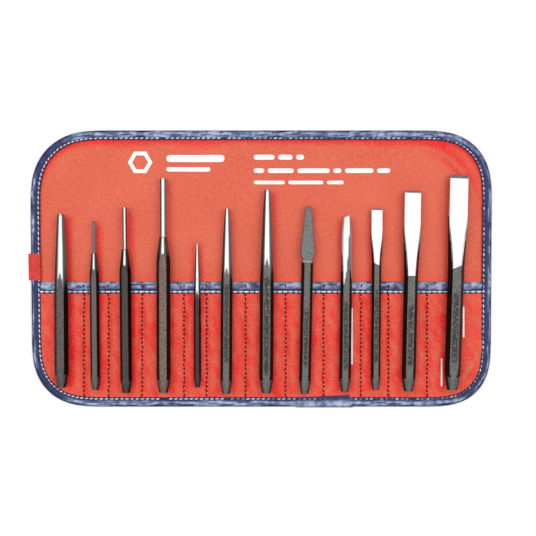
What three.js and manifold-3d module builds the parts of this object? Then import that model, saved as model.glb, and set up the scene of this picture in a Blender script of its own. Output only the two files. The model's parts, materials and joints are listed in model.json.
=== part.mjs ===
// Twelve-piece punch and chisel set laid out on its open vinyl pouch.
// Millimetres, +Z up. The pouch lies flat on z = 0, its pockets towards -Y, and the tools lie on it
// with their working ends towards +Y. The origin is the centre of the footprint, on the ground.
// The pouch folds shut along four of its pocket seams, so every sheet is made in five lengths.

import * as THREE from "three";
import { mergeVertices } from "three/addons/utils/BufferGeometryUtils.js";
import Module from "manifold-3d";

const wasm = await Module();
wasm.setup();

// ---------------------------------------------------------------- driving dimensions

const VINYL = 0.5; // thickness of every vinyl sheet and tape
const PLY_GAP = 0.1; // air between two plies
const FOLD_GAP = 0.4; // slit between two lengths of the pouch, at a fold line
const NEIGHBOUR_GAP = 0.3; // between two pieces that meet face to face
const STRAP_WRAP = 0.8; // how far the strap stands out past the pouch's left edge

const POUCH_CENTRE_X = 0.54; // moves the pouch so that the footprint, strap included, is centred

// Corners of the pouch before rounding, anticlockwise from the lower left, each with its radius.
const POUCH_CORNERS = [
  { x: -177.8, y: -107.5, radius: 41 },
  { x: 178.6, y: -107.5, radius: 37 },
  { x: 180, y: 107.5, radius: 42 },
  { x: -180, y: 107.5, radius: 46 },
];
const EDGE_BINDING_WIDTH = 7.6;
const POCKET_TOP = -10.4; // y of the pockets' upper edge
const POCKET_BINDING_WIDTH = 9;
const SEAMS_X = [-137.6, -118.4, -91.6, -59, -42.3, -12, 19.2, 48.7, 77.7, 98.2, 128.3];
const LEFT_FOLD_SEAMS = [2, 3]; // indices of the seams that bound the left spine
const RIGHT_FOLD_SEAMS = [9, 10]; // and the right spine
const THREAD_WIDTH = 0.6;
const THREAD_HEIGHT = 0.35;
const SEAM_OFFSET = 0.8; // a seam's thread lies this far outside the fold line on its seam

const STRAP_WIDTH = 20.6;
const STRAP_Y = 1.2; // the strap's middle
const STRAP_TAB_LENGTH = 9.4; // sewn end, on top of the binding
const STRAP_TAIL_LENGTH = 70; // free end, tucked under the left flap

// Heights of the plies, from the ground up.
const BACKING_Z = VINYL + PLY_GAP;
const POCKET_Z = BACKING_Z + 2 * VINYL + PLY_GAP;
const TOP_LEAF_Z = POCKET_Z + VINYL + PLY_GAP;
const POUCH_TOP = TOP_LEAF_Z + VINYL;
const TOOL_REST_Z = POUCH_TOP + 2 * PLY_GAP;
const LOWER_LEAF_Z = BACKING_Z + VINYL + PLY_GAP; // pocket binding's hidden leaf

const LATHE_STEPS = 24;
const INCH = 25.4;

const COLOURS = {
  red: 0xd9422e,
  blue: 0x3b4a8c,
  strap: 0xcf2f2c,
  thread: 0x4b3626,
  steel: 0x3f403f,
};

// ---------------------------------------------------------------- solids

// A closed three.js geometry as a manifold-3d solid.
function toSolid(geometry) {
  const bare = new THREE.BufferGeometry().setAttribute("position", geometry.getAttribute("position"));
  if (geometry.index) bare.setIndex(geometry.index);
  const merged = mergeVertices(bare, 1e-4);
  return new wasm.Manifold(
    new wasm.Mesh({
      numProp: 3,
      vertProperties: new Float32Array(merged.attributes.position.array),
      triVerts: new Uint32Array(merged.index.array),
    }),
  );
}

function toGeometry(solid) {
  const mesh = solid.getMesh();
  const geometry = new THREE.BufferGeometry()
    .setAttribute("position", new THREE.BufferAttribute(new Float32Array(mesh.vertProperties), 3))
    .setIndex(new THREE.BufferAttribute(new Uint32Array(mesh.triVerts), 1));
  geometry.computeVertexNormals();
  return geometry;
}

// A box between two corners.
function block(low, high) {
  const size = high.map((value, i) => value - low[i]);
  const geometry = new THREE.BoxGeometry(...size);
  geometry.translate(...low.map((value, i) => value + size[i] / 2));
  return toSolid(geometry);
}

// A flat shape in the XY plane raised from z to z + height.
function slab(shape, z, height) {
  const geometry = new THREE.ExtrudeGeometry(shape, { depth: height, bevelEnabled: false, curveSegments: 10 });
  geometry.translate(0, 0, z);
  return toSolid(geometry);
}

// A solid of revolution about +Y from [radius, y] pairs, closed on the axis at both ends.
function turned(profile) {
  const points = profile.map(([radius, y]) => new THREE.Vector2(radius, y));
  return toSolid(new THREE.LatheGeometry(points, LATHE_STEPS));
}

function meshOf(name, solid, colour, roughness, metalness) {
  const material = new THREE.MeshStandardMaterial({ color: colour, roughness, metalness });
  const mesh = new THREE.Mesh(toGeometry(solid), material);
  mesh.name = name;
  return mesh;
}

// ---------------------------------------------------------------- the pouch's outline

// The pouch's outline moved inwards by inset, with round corners.
function pouchOutline(inset) {
  const count = POUCH_CORNERS.length;
  const points = POUCH_CORNERS.map(({ x, y }) => new THREE.Vector2(x, y));
  const moved = points.map((point, i) => {
    const before = point.clone().sub(points[(i + count - 1) % count]).normalize();
    const after = points[(i + 1) % count].clone().sub(point).normalize();
    const inBefore = new THREE.Vector2(-before.y, before.x);
    const inAfter = new THREE.Vector2(-after.y, after.x);
    const mitre = inBefore.clone().add(inAfter).normalize();
    return point.clone().addScaledVector(mitre, inset / mitre.dot(inBefore));
  });
  const shape = new THREE.Shape();
  moved.forEach((corner, i) => {
    const radius = POUCH_CORNERS[i].radius - inset;
    const toBefore = moved[(i + count - 1) % count].clone().sub(corner).normalize();
    const toAfter = moved[(i + 1) % count].clone().sub(corner).normalize();
    const half = Math.acos(toBefore.dot(toAfter)) / 2;
    const tangent = radius / Math.tan(half);
    const start = corner.clone().addScaledVector(toBefore, tangent);
    const end = corner.clone().addScaledVector(toAfter, tangent);
    const bisector = toBefore.clone().add(toAfter).normalize();
    const centre = corner.clone().addScaledVector(bisector, radius / Math.sin(half));
    const from = start.sub(centre).angle();
    const to = end.sub(centre).angle();
    shape.absarc(centre.x, centre.y, radius, from, to, false);
  });
  return shape;
}

// ---------------------------------------------------------------- the pouch's sheets, whole

const OVERSIZE = 400; // reaches past the pouch in any direction
const SHEET_INSET = VINYL + PLY_GAP; // the sheets stop short of the binding's outer wall

function backingSheet() {
  return slab(pouchOutline(SHEET_INSET + PLY_GAP), BACKING_Z, VINYL);
}

function pocketSheet() {
  const edge = POCKET_TOP - VINYL - PLY_GAP;
  const below = block([-OVERSIZE, -OVERSIZE, 0], [OVERSIZE, edge, OVERSIZE]);
  return slab(pouchOutline(SHEET_INSET + PLY_GAP), POCKET_Z, VINYL).intersect(below);
}

// The tape folded round the pouch's edge: a ring with a slot for the sheets.
function edgeBinding() {
  const ring = slab(pouchOutline(0), 0, POUCH_TOP)
    .subtract(slab(pouchOutline(EDGE_BINDING_WIDTH), -1, POUCH_TOP + 2));
  const slot = slab(pouchOutline(SHEET_INSET), VINYL, TOP_LEAF_Z - VINYL);
  return ring.subtract(slot).subtract(strapNotch());
}

// The tape folded over the pockets' upper edge, between the two side bindings.
function pocketBinding() {
  const low = POCKET_TOP - POCKET_BINDING_WIDTH;
  const tape = block([-OVERSIZE, low, LOWER_LEAF_Z], [OVERSIZE, POCKET_TOP, POUCH_TOP]);
  const slot = block(
    [-OVERSIZE, low - 1, POCKET_Z - PLY_GAP],
    [OVERSIZE, POCKET_TOP - VINYL, TOP_LEAF_Z],
  );
  const between = slab(pouchOutline(EDGE_BINDING_WIDTH + NEIGHBOUR_GAP), 0, OVERSIZE);
  return tape.subtract(slot).intersect(between);
}

// ---------------------------------------------------------------- the strap

const LEFT_EDGE = -180;
const STRAP_OUTER = LEFT_EDGE - STRAP_WRAP;

// The strap lies in the plane of the binding's lower leaf, which stops at both sides of it.
function strapNotch() {
  const half = STRAP_WIDTH / 2 + NEIGHBOUR_GAP;
  const inner = LEFT_EDGE + EDGE_BINDING_WIDTH + 2;
  return block([STRAP_OUTER, STRAP_Y - half, -1], [inner, STRAP_Y + half, VINYL + PLY_GAP / 2]);
}

// One strap in a C: sewn on top of the binding, round its edge, and flat under the left flap.
function tieStrap() {
  const low = STRAP_Y - STRAP_WIDTH / 2;
  const high = STRAP_Y + STRAP_WIDTH / 2;
  const tabEnd = STRAP_OUTER + STRAP_TAB_LENGTH;
  const inside = POUCH_TOP + PLY_GAP;
  const outer = block([STRAP_OUTER, low, 0], [tabEnd, high, inside + VINYL]);
  const hollow = block([STRAP_OUTER + VINYL, low - 1, VINYL], [tabEnd + 1, high + 1, inside]);
  const tail = block([STRAP_OUTER, low, 0], [STRAP_OUTER + STRAP_TAIL_LENGTH, high, VINYL]);
  return outer.subtract(hollow).add(tail);
}

// ---------------------------------------------------------------- cutting the pouch at its folds

const LENGTHS = [
  { name: "left_flap", from: -OVERSIZE, to: SEAMS_X[LEFT_FOLD_SEAMS[0]] },
  { name: "left_spine", from: SEAMS_X[LEFT_FOLD_SEAMS[0]], to: SEAMS_X[LEFT_FOLD_SEAMS[1]] },
  { name: "centre", from: SEAMS_X[LEFT_FOLD_SEAMS[1]], to: SEAMS_X[RIGHT_FOLD_SEAMS[0]] },
  { name: "right_spine", from: SEAMS_X[RIGHT_FOLD_SEAMS[0]], to: SEAMS_X[RIGHT_FOLD_SEAMS[1]] },
  { name: "right_flap", from: SEAMS_X[RIGHT_FOLD_SEAMS[1]], to: OVERSIZE },
];

// The part of a sheet in one length of the pouch, and between two heights in y.
function lengthOf(sheet, { from, to }, low = -OVERSIZE, high = OVERSIZE) {
  return sheet.intersect(block([from + FOLD_GAP / 2, low, -1], [to - FOLD_GAP / 2, high, OVERSIZE]));
}

function isEnd({ name }) {
  return name.endsWith("flap");
}

function addPouch(group) {
  const backing = backingSheet();
  const pocket = pocketSheet();
  const edge = edgeBinding();
  const tape = pocketBinding();
  for (const length of LENGTHS) {
    const { name } = length;
    group.add(meshOf(`backing_${name}`, lengthOf(backing, length), COLOURS.red, 0.5, 0));
    group.add(meshOf(`pocket_${name}`, lengthOf(pocket, length), COLOURS.red, 0.4, 0));
    group.add(meshOf(`pocket_binding_${name}`, lengthOf(tape, length), COLOURS.blue, 0.3, 0));
    if (isEnd(length)) {
      group.add(meshOf(`edge_binding_${name}`, lengthOf(edge, length), COLOURS.blue, 0.3, 0));
    } else {
      const top = lengthOf(edge, length, 0);
      const bottom = lengthOf(edge, length, -OVERSIZE, 0);
      group.add(meshOf(`edge_binding_top_${name}`, top, COLOURS.blue, 0.3, 0));
      group.add(meshOf(`edge_binding_bottom_${name}`, bottom, COLOURS.blue, 0.3, 0));
    }
  }
  group.add(meshOf("tie_strap", tieStrap(), COLOURS.strap, 0.5, 0));
}

// The lines of thread that divide the pockets. A seam on a fold line is shifted onto the flap or
// spine outside it.
function addSeams(group) {
  const top = POCKET_TOP - POCKET_BINDING_WIDTH - NEIGHBOUR_GAP;
  const bottom = POUCH_CORNERS[0].y + EDGE_BINDING_WIDTH + NEIGHBOUR_GAP;
  const z = POCKET_Z + VINYL + PLY_GAP / 2;
  SEAMS_X.forEach((seam, i) => {
    const onLeftFold = LEFT_FOLD_SEAMS.includes(i);
    const onRightFold = RIGHT_FOLD_SEAMS.includes(i);
    const x = seam + (onRightFold ? SEAM_OFFSET : 0) - (onLeftFold ? SEAM_OFFSET : 0);
    const half = THREAD_WIDTH / 2;
    const thread = block([x - half, bottom, z], [x + half, top, z + THREAD_HEIGHT]);
    group.add(meshOf(`pocket_seam_${i + 1}`, thread, COLOURS.thread, 0.8, 0));
  });
}

// ---------------------------------------------------------------- the tools

const CROWN_END = 0.36; // radius of the struck end, as a share of the width across flats
const CROWN_SLOPE = 0.18; // how fast the crown widens
const CROWN_EDGE = 0.5; // chamfer round the struck end
const PAST_CORNERS = 1.05; // turned cutters reach past the bar's corners by this factor

// Hexagonal bar along +Y from its struck end at y = 0, with a flat facing up.
function hexBar(flats, length) {
  const corner = flats / Math.sqrt(3);
  const geometry = new THREE.CylinderGeometry(corner, corner, length, 6);
  geometry.rotateY(Math.PI / 6);
  geometry.translate(0, length / 2, 0);
  return toSolid(geometry);
}

// [radius, y] pairs of the ground crown at the struck end, out past the bar's corners.
function crownProfile(flats) {
  const end = flats * CROWN_END;
  const clear = (flats / Math.sqrt(3)) * PAST_CORNERS;
  return [
    [0, 0],
    [end - CROWN_EDGE, 0],
    [end, CROWN_EDGE],
    [clear, CROWN_EDGE + (clear - end) / CROWN_SLOPE],
  ];
}

// A bar ground to a taper from the tip back to where it runs out on the corners.
// The cone cuts the flats at faceStart from the tip.
function taperPunch({ flats, length, tipRadius, faceStart, pointLength, pointRadius }) {
  const clear = (flats / Math.sqrt(3)) * PAST_CORNERS;
  const slope = (flats / 2 - tipRadius) / (faceStart - pointLength);
  const runOut = pointLength + (clear - tipRadius) / slope;
  return hexBar(flats, length).intersect(
    turned([
      ...crownProfile(flats),
      [clear, length - runOut],
      [tipRadius, length - pointLength],
      [pointRadius, length],
      [0, length],
    ]),
  );
}

// A bar with a ground neck and a straight pin of even diameter.
function pinPunch({ flats, length, pinRadius, pinLength, neckRadius, neckLength }) {
  const clear = (flats / Math.sqrt(3)) * PAST_CORNERS;
  const slope = (flats / 2 - neckRadius) / neckLength;
  const neck = length - pinLength;
  const edge = pinRadius * 0.12;
  return hexBar(flats, length).intersect(
    turned([
      ...crownProfile(flats),
      [clear, neck - (clear - neckRadius) / slope],
      [neckRadius, neck],
      [pinRadius, neck + (neckRadius - pinRadius)],
      [pinRadius, length - edge],
      [pinRadius - edge, length],
      [0, length],
    ]),
  );
}

// One eight-cornered section across Y: half width, half width of the flat face, half thickness and
// half height of the side.
function section({ y, width, face, thick, side }) {
  const corners = [
    [face, thick],
    [width, side],
    [width, -side],
    [face, -thick],
  ];
  const others = corners.map(([x, z]) => [-x, -z]);
  return [...corners, ...others].map(([x, z]) => [x, y, z]);
}

// A closed solid through rings of points, in order along +Y, each ring anticlockwise seen from +Y.
function lofted(rings) {
  const size = rings[0].length;
  const positions = rings.flat(2);
  const faces = [];
  for (let r = 0; r + 1 < rings.length; r++)
    for (let i = 0; i < size; i++) {
      const a = r * size + i;
      const b = r * size + ((i + 1) % size);
      faces.push(a, b, a + size, b, b + size, a + size);
    }
  const last = (rings.length - 1) * size;
  for (let i = 1; i + 1 < size; i++) {
    faces.push(0, i + 1, i);
    faces.push(last, last + i, last + i + 1);
  }
  const geometry = new THREE.BufferGeometry()
    .setAttribute("position", new THREE.BufferAttribute(new Float32Array(positions), 3))
    .setIndex(faces);
  return toSolid(geometry);
}

function forged(sections) {
  return lofted(sections.map(section));
}

// The bar's own section, for the start of a forged head.
function barSection(flats, y) {
  const corner = flats / Math.sqrt(3);
  return { y, width: corner, face: corner / 2, thick: flats / 2, side: 0.12 };
}

function crowned(solid, flats, length) {
  const clear = flats * 2;
  return solid.intersect(
    turned([
      ...crownProfile(flats),
      [clear, CROWN_EDGE + (clear - flats * CROWN_END) / CROWN_SLOPE],
      [clear, length + 1],
      [0, length + 1],
    ]),
  );
}

// Flat blade: forged wide and thin from the bar, with a short ground edge.
function coldChisel({ flats, length, blade, faceStart, straight, edgeThick, bevel }) {
  const corner = flats / Math.sqrt(3);
  const start = length - faceStart;
  const shoulder = length - straight;
  const heel = length - bevel;
  const thickAt = (y) => flats / 2 + ((edgeThick - flats) / 2) * ((y - start) / (heel - start));
  const between = (share) => start + (shoulder - start) * share;
  const head = [0.3, 0.6, 0.85].map((share) => {
    const y = between(share);
    const width = corner + (blade / 2 - corner) * share;
    const face = corner / 2 + (blade / 2 - 0.5 - corner / 2) * share ** 1.6;
    return { y, width, face, thick: thickAt(y), side: thickAt(y) * share * 0.8 };
  });
  const flat = (y) => ({
    y,
    width: blade / 2,
    face: blade / 2 - 0.25,
    thick: thickAt(y),
    side: thickAt(y) - 0.2,
  });
  const sections = [
    barSection(flats, 0),
    barSection(flats, start),
    ...head,
    flat(shoulder),
    flat(heel),
    { y: length, width: blade / 2, face: blade / 2 - 0.05, thick: 0.1, side: 0.05 },
  ];
  return crowned(forged(sections), flats, length);
}

// Spear-shaped flat head with a narrow cutting edge, wider than its neck.
function capeChisel({ flats, length, headLength, shoulder, headWidth, tipWidth }) {
  const neck = length - headLength;
  const sections = [
    barSection(flats, 0),
    barSection(flats, neck),
    { y: neck + 1.6, width: headWidth * 0.37, face: headWidth * 0.35, thick: flats * 0.49, side: flats * 0.4 },
    { y: neck + 3.6, width: headWidth * 0.45, face: headWidth * 0.43, thick: flats * 0.48, side: flats * 0.42 },
    { y: neck + shoulder, width: headWidth / 2, face: headWidth / 2 - 0.3, thick: flats * 0.46, side: flats * 0.42 },
    { y: length - 2.4, width: tipWidth / 2 + 0.3, face: tipWidth / 2, thick: 1.5, side: 1.2 },
    { y: length - 0.8, width: tipWidth / 2, face: tipWidth / 2 - 0.3, thick: 0.8, side: 0.6 },
    { y: length, width: tipWidth / 2 - 0.5, face: tipWidth / 2 - 0.7, thick: 0.2, side: 0.1 },
  ];
  return crowned(forged(sections), flats, length);
}

// A square across Y, turned about its middle, with its four sides at a distance from the axis.
function squareRing(y, distance, turn) {
  const radius = distance * Math.SQRT2;
  return [0, 1, 2, 3].map((k) => {
    const angle = Math.PI / 4 + turn - (k * Math.PI) / 2;
    return [radius * Math.cos(angle), y, radius * Math.sin(angle)];
  });
}

// A bar ground to four flat sides that are turned about its axis, and cut off slanting from one corner.
// The grind lists how far the sides are from the axis, at distances back from the tip. At its last
// distance the sides run out of the bar.
function diamondChisel({ flats, length, grind, turn, slant }) {
  const past = 6; // the run-out goes on this far past the bar's corners
  const [[, tipHalf], , [heel, heelHalf], [end, endHalf]] = grind;
  const slope = (endHalf - heelHalf) / (end - heel);
  const profile = [...grind, [end + past, endHalf + slope * past]];
  const taper = lofted(profile.toReversed().map(([back, half]) => squareRing(length - back, half, turn)));
  const ground = hexBar(flats, length).intersect(taper);
  const shank = hexBar(flats, length - end - past / 2);
  const cut = new THREE.BoxGeometry(40, 40, 40);
  cut.translate(0, 20, 0);
  cut.rotateX(slant);
  cut.rotateY(Math.PI / 4 - turn);
  cut.translate(0, length - tipHalf * Math.SQRT2 * Math.tan(slant), 0);
  return crowned(shank.add(ground).subtract(toSolid(cut)), flats, length);
}

// Every tool: how it is made, its sizes, and where it lies. x and y place the middle of its struck
// end, and lean is its turn clockwise from +Y, in degrees.
const TOOLS = [
  {
    name: "centre_punch", make: taperPunch, x: -153.8, y: -91.6, lean: -0.34,
    flats: (3 / 8) * INCH, length: 134, tipRadius: 2.5, faceStart: 47.9, pointLength: 1.2, pointRadius: 1.3,
  },
  {
    name: "pin_punch_small", make: pinPunch, x: -128, y: -93.8, lean: -0.61,
    flats: (1 / 4) * INCH, length: 130.6, pinRadius: 1.19, pinLength: 24.9, neckRadius: 1.9, neckLength: 13,
  },
  {
    name: "pin_punch_medium", make: pinPunch, x: -104, y: -96, lean: -0.56,
    flats: (5 / 16) * INCH, length: 143.4, pinRadius: 1.59, pinLength: 32.6, neckRadius: 2.3, neckLength: 12.7,
  },
  {
    name: "pin_punch_large", make: pinPunch, x: -75.1, y: -95.7, lean: -0.17,
    flats: (3 / 8) * INCH, length: 165.2, pinRadius: 2.38, pinLength: 45.4, neckRadius: 2.95, neckLength: 13.3,
  },
  {
    name: "prick_punch", make: taperPunch, x: -49.1, y: -92, lean: -0.15,
    flats: (3 / 16) * INCH, length: 112.8, tipRadius: 0.75, faceStart: 39, pointLength: 1.2, pointRadius: 0.15,
  },
  {
    name: "taper_punch_short", make: taperPunch, x: -26.9, y: -96.6, lean: 0.32,
    flats: (5 / 16) * INCH, length: 142.7, tipRadius: 1.59, faceStart: 47.3, pointLength: 0.2, pointRadius: 1.4,
  },
  {
    name: "taper_punch_long", make: taperPunch, x: 4.1, y: -96, lean: 0.33,
    flats: (3 / 8) * INCH, length: 156.7, tipRadius: 2.2, faceStart: 55.4, pointLength: 0.25, pointRadius: 1.95,
  },
  {
    name: "cape_chisel", make: capeChisel, x: 33.8, y: -96.6, lean: 1.19,
    flats: (5 / 16) * INCH, length: 144.8, headLength: 44, shoulder: 7.5, headWidth: 11, tipWidth: 3.9,
  },
  {
    name: "diamond_point_chisel", make: diamondChisel, x: 64.8, y: -95.1, lean: 0.76,
    flats: (5 / 16) * INCH, length: 136.1, grind: [[0, 2.4], [15, 3.25], [40, 3.7], [55, 4.5]],
    turn: THREE.MathUtils.degToRad(19), slant: THREE.MathUtils.degToRad(30),
  },
  {
    name: "cold_chisel_small", make: coldChisel, x: 88.6, y: -93.8, lean: 0.49,
    flats: (1 / 4) * INCH, length: 140.1, blade: 9.4, faceStart: 43.5, straight: 18.5, edgeThick: 1.8, bevel: 1.2,
  },
  {
    name: "cold_chisel_medium", make: coldChisel, x: 113.8, y: -94.7, lean: 1.33,
    flats: (3 / 8) * INCH, length: 154.6, blade: 13, faceStart: 65, straight: 26.6, edgeThick: 2.2, bevel: 1.5,
  },
  {
    name: "cold_chisel_large", make: coldChisel, x: 147.3, y: -93.5, lean: 1.97,
    flats: (7 / 16) * INCH, length: 165.6, blade: 14.5, faceStart: 70.6, straight: 32, edgeThick: 3.2, bevel: 2.4,
  },
];

function addTools(group) {
  for (const tool of TOOLS) {
    const mesh = meshOf(tool.name, tool.make(tool), COLOURS.steel, 0.35, 0.9);
    mesh.position.set(tool.x, tool.y, TOOL_REST_Z + tool.flats / 2);
    mesh.rotation.z = -THREE.MathUtils.degToRad(tool.lean);
    group.add(mesh);
  }
}

// ---------------------------------------------------------------- the set

const pouch = new THREE.Group();
pouch.position.x = POUCH_CENTRE_X;
addPouch(pouch);
addSeams(pouch);
addTools(pouch);

const set = new THREE.Group();
set.add(pouch);

export default set;
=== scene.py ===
# Looks of a twelve-piece punch and chisel set on its open vinyl pouch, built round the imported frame.
# Metres, in the CAD's frame: +Z up, the tools' working ends towards +Y.

import json
import math

import bpy
import numpy as np
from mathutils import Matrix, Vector


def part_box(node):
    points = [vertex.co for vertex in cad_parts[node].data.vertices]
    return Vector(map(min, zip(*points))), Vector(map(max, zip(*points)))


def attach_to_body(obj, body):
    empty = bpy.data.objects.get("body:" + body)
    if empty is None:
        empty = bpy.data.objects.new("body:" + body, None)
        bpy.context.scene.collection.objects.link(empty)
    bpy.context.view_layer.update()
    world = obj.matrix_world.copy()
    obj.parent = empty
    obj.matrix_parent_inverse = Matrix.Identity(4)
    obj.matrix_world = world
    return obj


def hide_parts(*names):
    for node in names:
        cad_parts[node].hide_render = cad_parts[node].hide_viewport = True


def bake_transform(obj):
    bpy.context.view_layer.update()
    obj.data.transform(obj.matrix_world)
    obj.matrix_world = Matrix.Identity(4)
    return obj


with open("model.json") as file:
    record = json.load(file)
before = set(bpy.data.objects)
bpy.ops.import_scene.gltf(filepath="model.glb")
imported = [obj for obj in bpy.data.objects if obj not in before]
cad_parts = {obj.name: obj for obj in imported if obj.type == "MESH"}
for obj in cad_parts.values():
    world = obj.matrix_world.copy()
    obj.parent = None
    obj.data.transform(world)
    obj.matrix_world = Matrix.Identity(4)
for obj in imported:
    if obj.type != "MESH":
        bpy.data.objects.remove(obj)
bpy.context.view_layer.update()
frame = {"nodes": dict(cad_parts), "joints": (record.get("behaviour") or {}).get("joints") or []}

# ---------------------------------------------------------------- driving dimensions

MM = 0.001
POUCH_SHIFT = 0.54 * MM  # the pouch's own centre, in the frame

# Corners of the pouch before rounding, anticlockwise from the lower left: x, y and radius.
POUCH_CORNERS = np.array([
    (-177.8, -107.5, 39),
    (178.6, -107.5, 35),
    (180, 107.5, 40),
    (-180, 107.5, 44),
]) * MM
OUTLINE_STEP = 1 * MM
OUTLINE_SOFTENING = 25 * MM  # length over which the outline's curvature is evened out

VINYL = 0.5 * MM
EDGE_WIDTH = 7.4 * MM  # visible width of the tape round the edge
SHEET_INSET = 2.2 * MM  # the sheets end this far inside the outline, within the tape
BACKING_Z = 1.25 * MM  # nominal top of the backing
POCKET_EDGE_Z = 1.95 * MM  # top of the pockets where the edge tape holds them down
POCKET_MOUTH_Z = 2.25 * MM  # and at their mouth
POCKET_FULL_Z = 2.75 * MM  # and at their fullest
TOOL_CLEARANCE = 2.9 * MM  # nothing under a tool is higher than this
SEAM_Z = 1.75 * MM  # bottom of the furrow along a seam

POCKET_TAPE_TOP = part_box("pocket_binding_centre")[1].y
POCKET_TAPE_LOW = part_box("pocket_binding_centre")[0].y
POCKET_TAPE_WIDTH = POCKET_TAPE_TOP - POCKET_TAPE_LOW

EDGE_PITCH = 4 * MM  # one stitch and its gap on the edge tape
TAPE_PITCH = 4.3 * MM  # on the pocket tape
SEAM_PITCH = 3.4 * MM  # and on the seams

SEAM_COUNT = 11
SEAMS_X = [sum(corner.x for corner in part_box(f"pocket_seam_{i + 1}")) / 2 for i in range(SEAM_COUNT)]

JOINTS = {joint["name"]: joint for joint in frame["joints"]}
FOLD_REACH = 3.4 * MM  # half the width of the bend at a fold line
FOLDS_X = {name: JOINTS[name]["pos_m"][0] for name in
           ("left_flap_fold", "left_spine_fold", "right_spine_fold", "right_flap_fold")}

# ---------------------------------------------------------------- the pouch's five zones

# Each zone is a length of the pouch that bends over one fold line at most. The lines between zones
# run under a tool, where the pouch stays flat.
TOOL_NAMES = [name.removesuffix("_slide") for name in JOINTS if name.endswith("_slide")]


def tool_x(name):
    low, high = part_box(name)
    return round((low.x + high.x) / 2, 6)


ZONES = [
    {"name": "left_flap", "to": tool_x("pin_punch_large"), "fold": "left_flap_fold"},
    {"name": "left_spine", "to": tool_x("taper_punch_short"), "fold": "left_spine_fold"},
    {"name": "centre", "to": tool_x("diamond_point_chisel"), "fold": None},
    {"name": "right_spine", "to": tool_x("cold_chisel_medium"), "fold": "right_spine_fold"},
    {"name": "right_flap", "to": math.inf, "fold": "right_flap_fold"},
]
start = -math.inf
for zone in ZONES:
    zone["from"] = start
    start = zone["to"]


def zone_at(x):
    return next(zone for zone in ZONES if x <= zone["to"])


# Makes a piece of the centre zone move with the centre. A piece of any other zone only has its place baked
# into its mesh.
def attach(piece, zone):
    if zone["fold"] is None:
        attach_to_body(piece, "pouch_centre")
        return
    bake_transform(piece)


# ---------------------------------------------------------------- shared mathematics


def smooth(t):
    t = np.clip(t, 0, 1)
    return t * t * (3 - 2 * t)


# A smooth bump of height 1 that is 0 beyond reach on either side.
def bump(distance, reach):
    return smooth(1 - np.abs(distance) / reach)


# Swings between 1 and -1 once in every pitch.
def pulse(along, pitch):
    return np.cos(2 * math.pi * along / pitch)


# Each row of an array, made one long.
def unit(vectors):
    return vectors / np.linalg.norm(vectors, axis=1)[:, None]


# Gentle random waves with about the given wavelength, roughly from -1 to 1.
def waves(x, y, wavelength, seed, count=7):
    random = np.random.default_rng(seed)
    total = np.zeros(np.broadcast(x, y).shape)
    for _ in range(count):
        angle = random.uniform(0, 2 * math.pi)
        turn = 2 * math.pi / (wavelength * random.uniform(0.7, 1.5))
        phase = random.uniform(0, 2 * math.pi)
        total += np.sin(turn * (x * math.cos(angle) + y * math.sin(angle)) + phase)
    return total / math.sqrt(count)


# ---------------------------------------------------------------- the outline


# The pouch's outline as points a step apart, anticlockwise, with outward normals.
def make_outline():
    corners = POUCH_CORNERS[:, :2] + (POUCH_SHIFT, 0)
    points = []
    for i, corner in enumerate(corners):
        to_before = corners[i - 1] - corner
        to_after = corners[(i + 1) % len(corners)] - corner
        to_before /= np.linalg.norm(to_before)
        to_after /= np.linalg.norm(to_after)
        half = math.acos(to_before @ to_after) / 2
        radius = POUCH_CORNERS[i, 2]
        middle = to_before + to_after
        centre = corner + middle / np.linalg.norm(middle) * radius / math.sin(half)
        first = corner + to_before * radius / math.tan(half) - centre
        sweep = math.pi - 2 * half
        begin = math.atan2(first[1], first[0])
        angles = begin + np.linspace(0, sweep, 40)
        points.append(centre + radius * np.column_stack([np.cos(angles), np.sin(angles)]))
    closed = np.vstack([*points, points[0][:1]])
    steps = np.linalg.norm(np.diff(closed, axis=0), axis=1)
    length = np.concatenate([[0], np.cumsum(steps)])
    count = round(length[-1] / OUTLINE_STEP)
    at = np.arange(count) * length[-1] / count
    even = np.column_stack([np.interp(at, length, closed[:, k]) for k in range(2)])
    window = round(OUTLINE_SOFTENING / OUTLINE_STEP) | 1
    for _ in range(2):
        even = sum(np.roll(even, k - window // 2, axis=0) for k in range(window)) / window
    along = unit(np.roll(even, -1, axis=0) - np.roll(even, 1, axis=0))
    normal = np.column_stack([along[:, 1], -along[:, 0]])
    return even, normal


OUTLINE, OUTWARD = make_outline()


# How far inside the outline each point is, negative outside, and the nearest outline point's index.
def inside(x, y):
    shape = np.shape(x)
    flat = np.column_stack([np.ravel(x), np.ravel(y)])
    depth = np.empty(len(flat))
    nearest = np.empty(len(flat), int)
    for low in range(0, len(flat), 4000):
        part = slice(low, low + 4000)
        gap = flat[part, None, :] - OUTLINE[None, :, :]
        found = np.argmin((gap ** 2).sum(axis=2), axis=1)
        offset = gap[np.arange(len(found)), found]
        depth[part] = -(offset * OUTWARD[found]).sum(axis=1)
        nearest[part] = found
    return depth.reshape(shape), nearest.reshape(shape)


# ---------------------------------------------------------------- heights of the vinyl


def measure_tool(name):
    direction = np.array(JOINTS[f"{name}_slide"]["axis"], float)
    across = np.array([direction[1], -direction[0], 0])
    points = np.array([v.co for v in frame["nodes"][name].data.vertices])
    along = points @ direction
    side = points @ across
    low, high = points[:, 2].min(), points[:, 2].max()
    middle = (side.min() + side.max()) / 2
    origin = along.min() * direction + middle * across + np.array([0, 0, (low + high) / 2])
    return {
        "origin": origin,
        "direction": direction,
        "across": across,
        "length": along.max() - along.min(),
        "flats": high - low,
    }


TOOL_FRAMES = {name: measure_tool(name) for name in TOOL_NAMES}


# How far each point is to the right of a tool's middle line, and how far along it from its struck end.
def in_tool(tool, x, y):
    from_x = x - tool["origin"][0]
    from_y = y - tool["origin"][1]
    return [from_x * tool[way][0] + from_y * tool[way][1] for way in ("across", "direction")]


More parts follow.
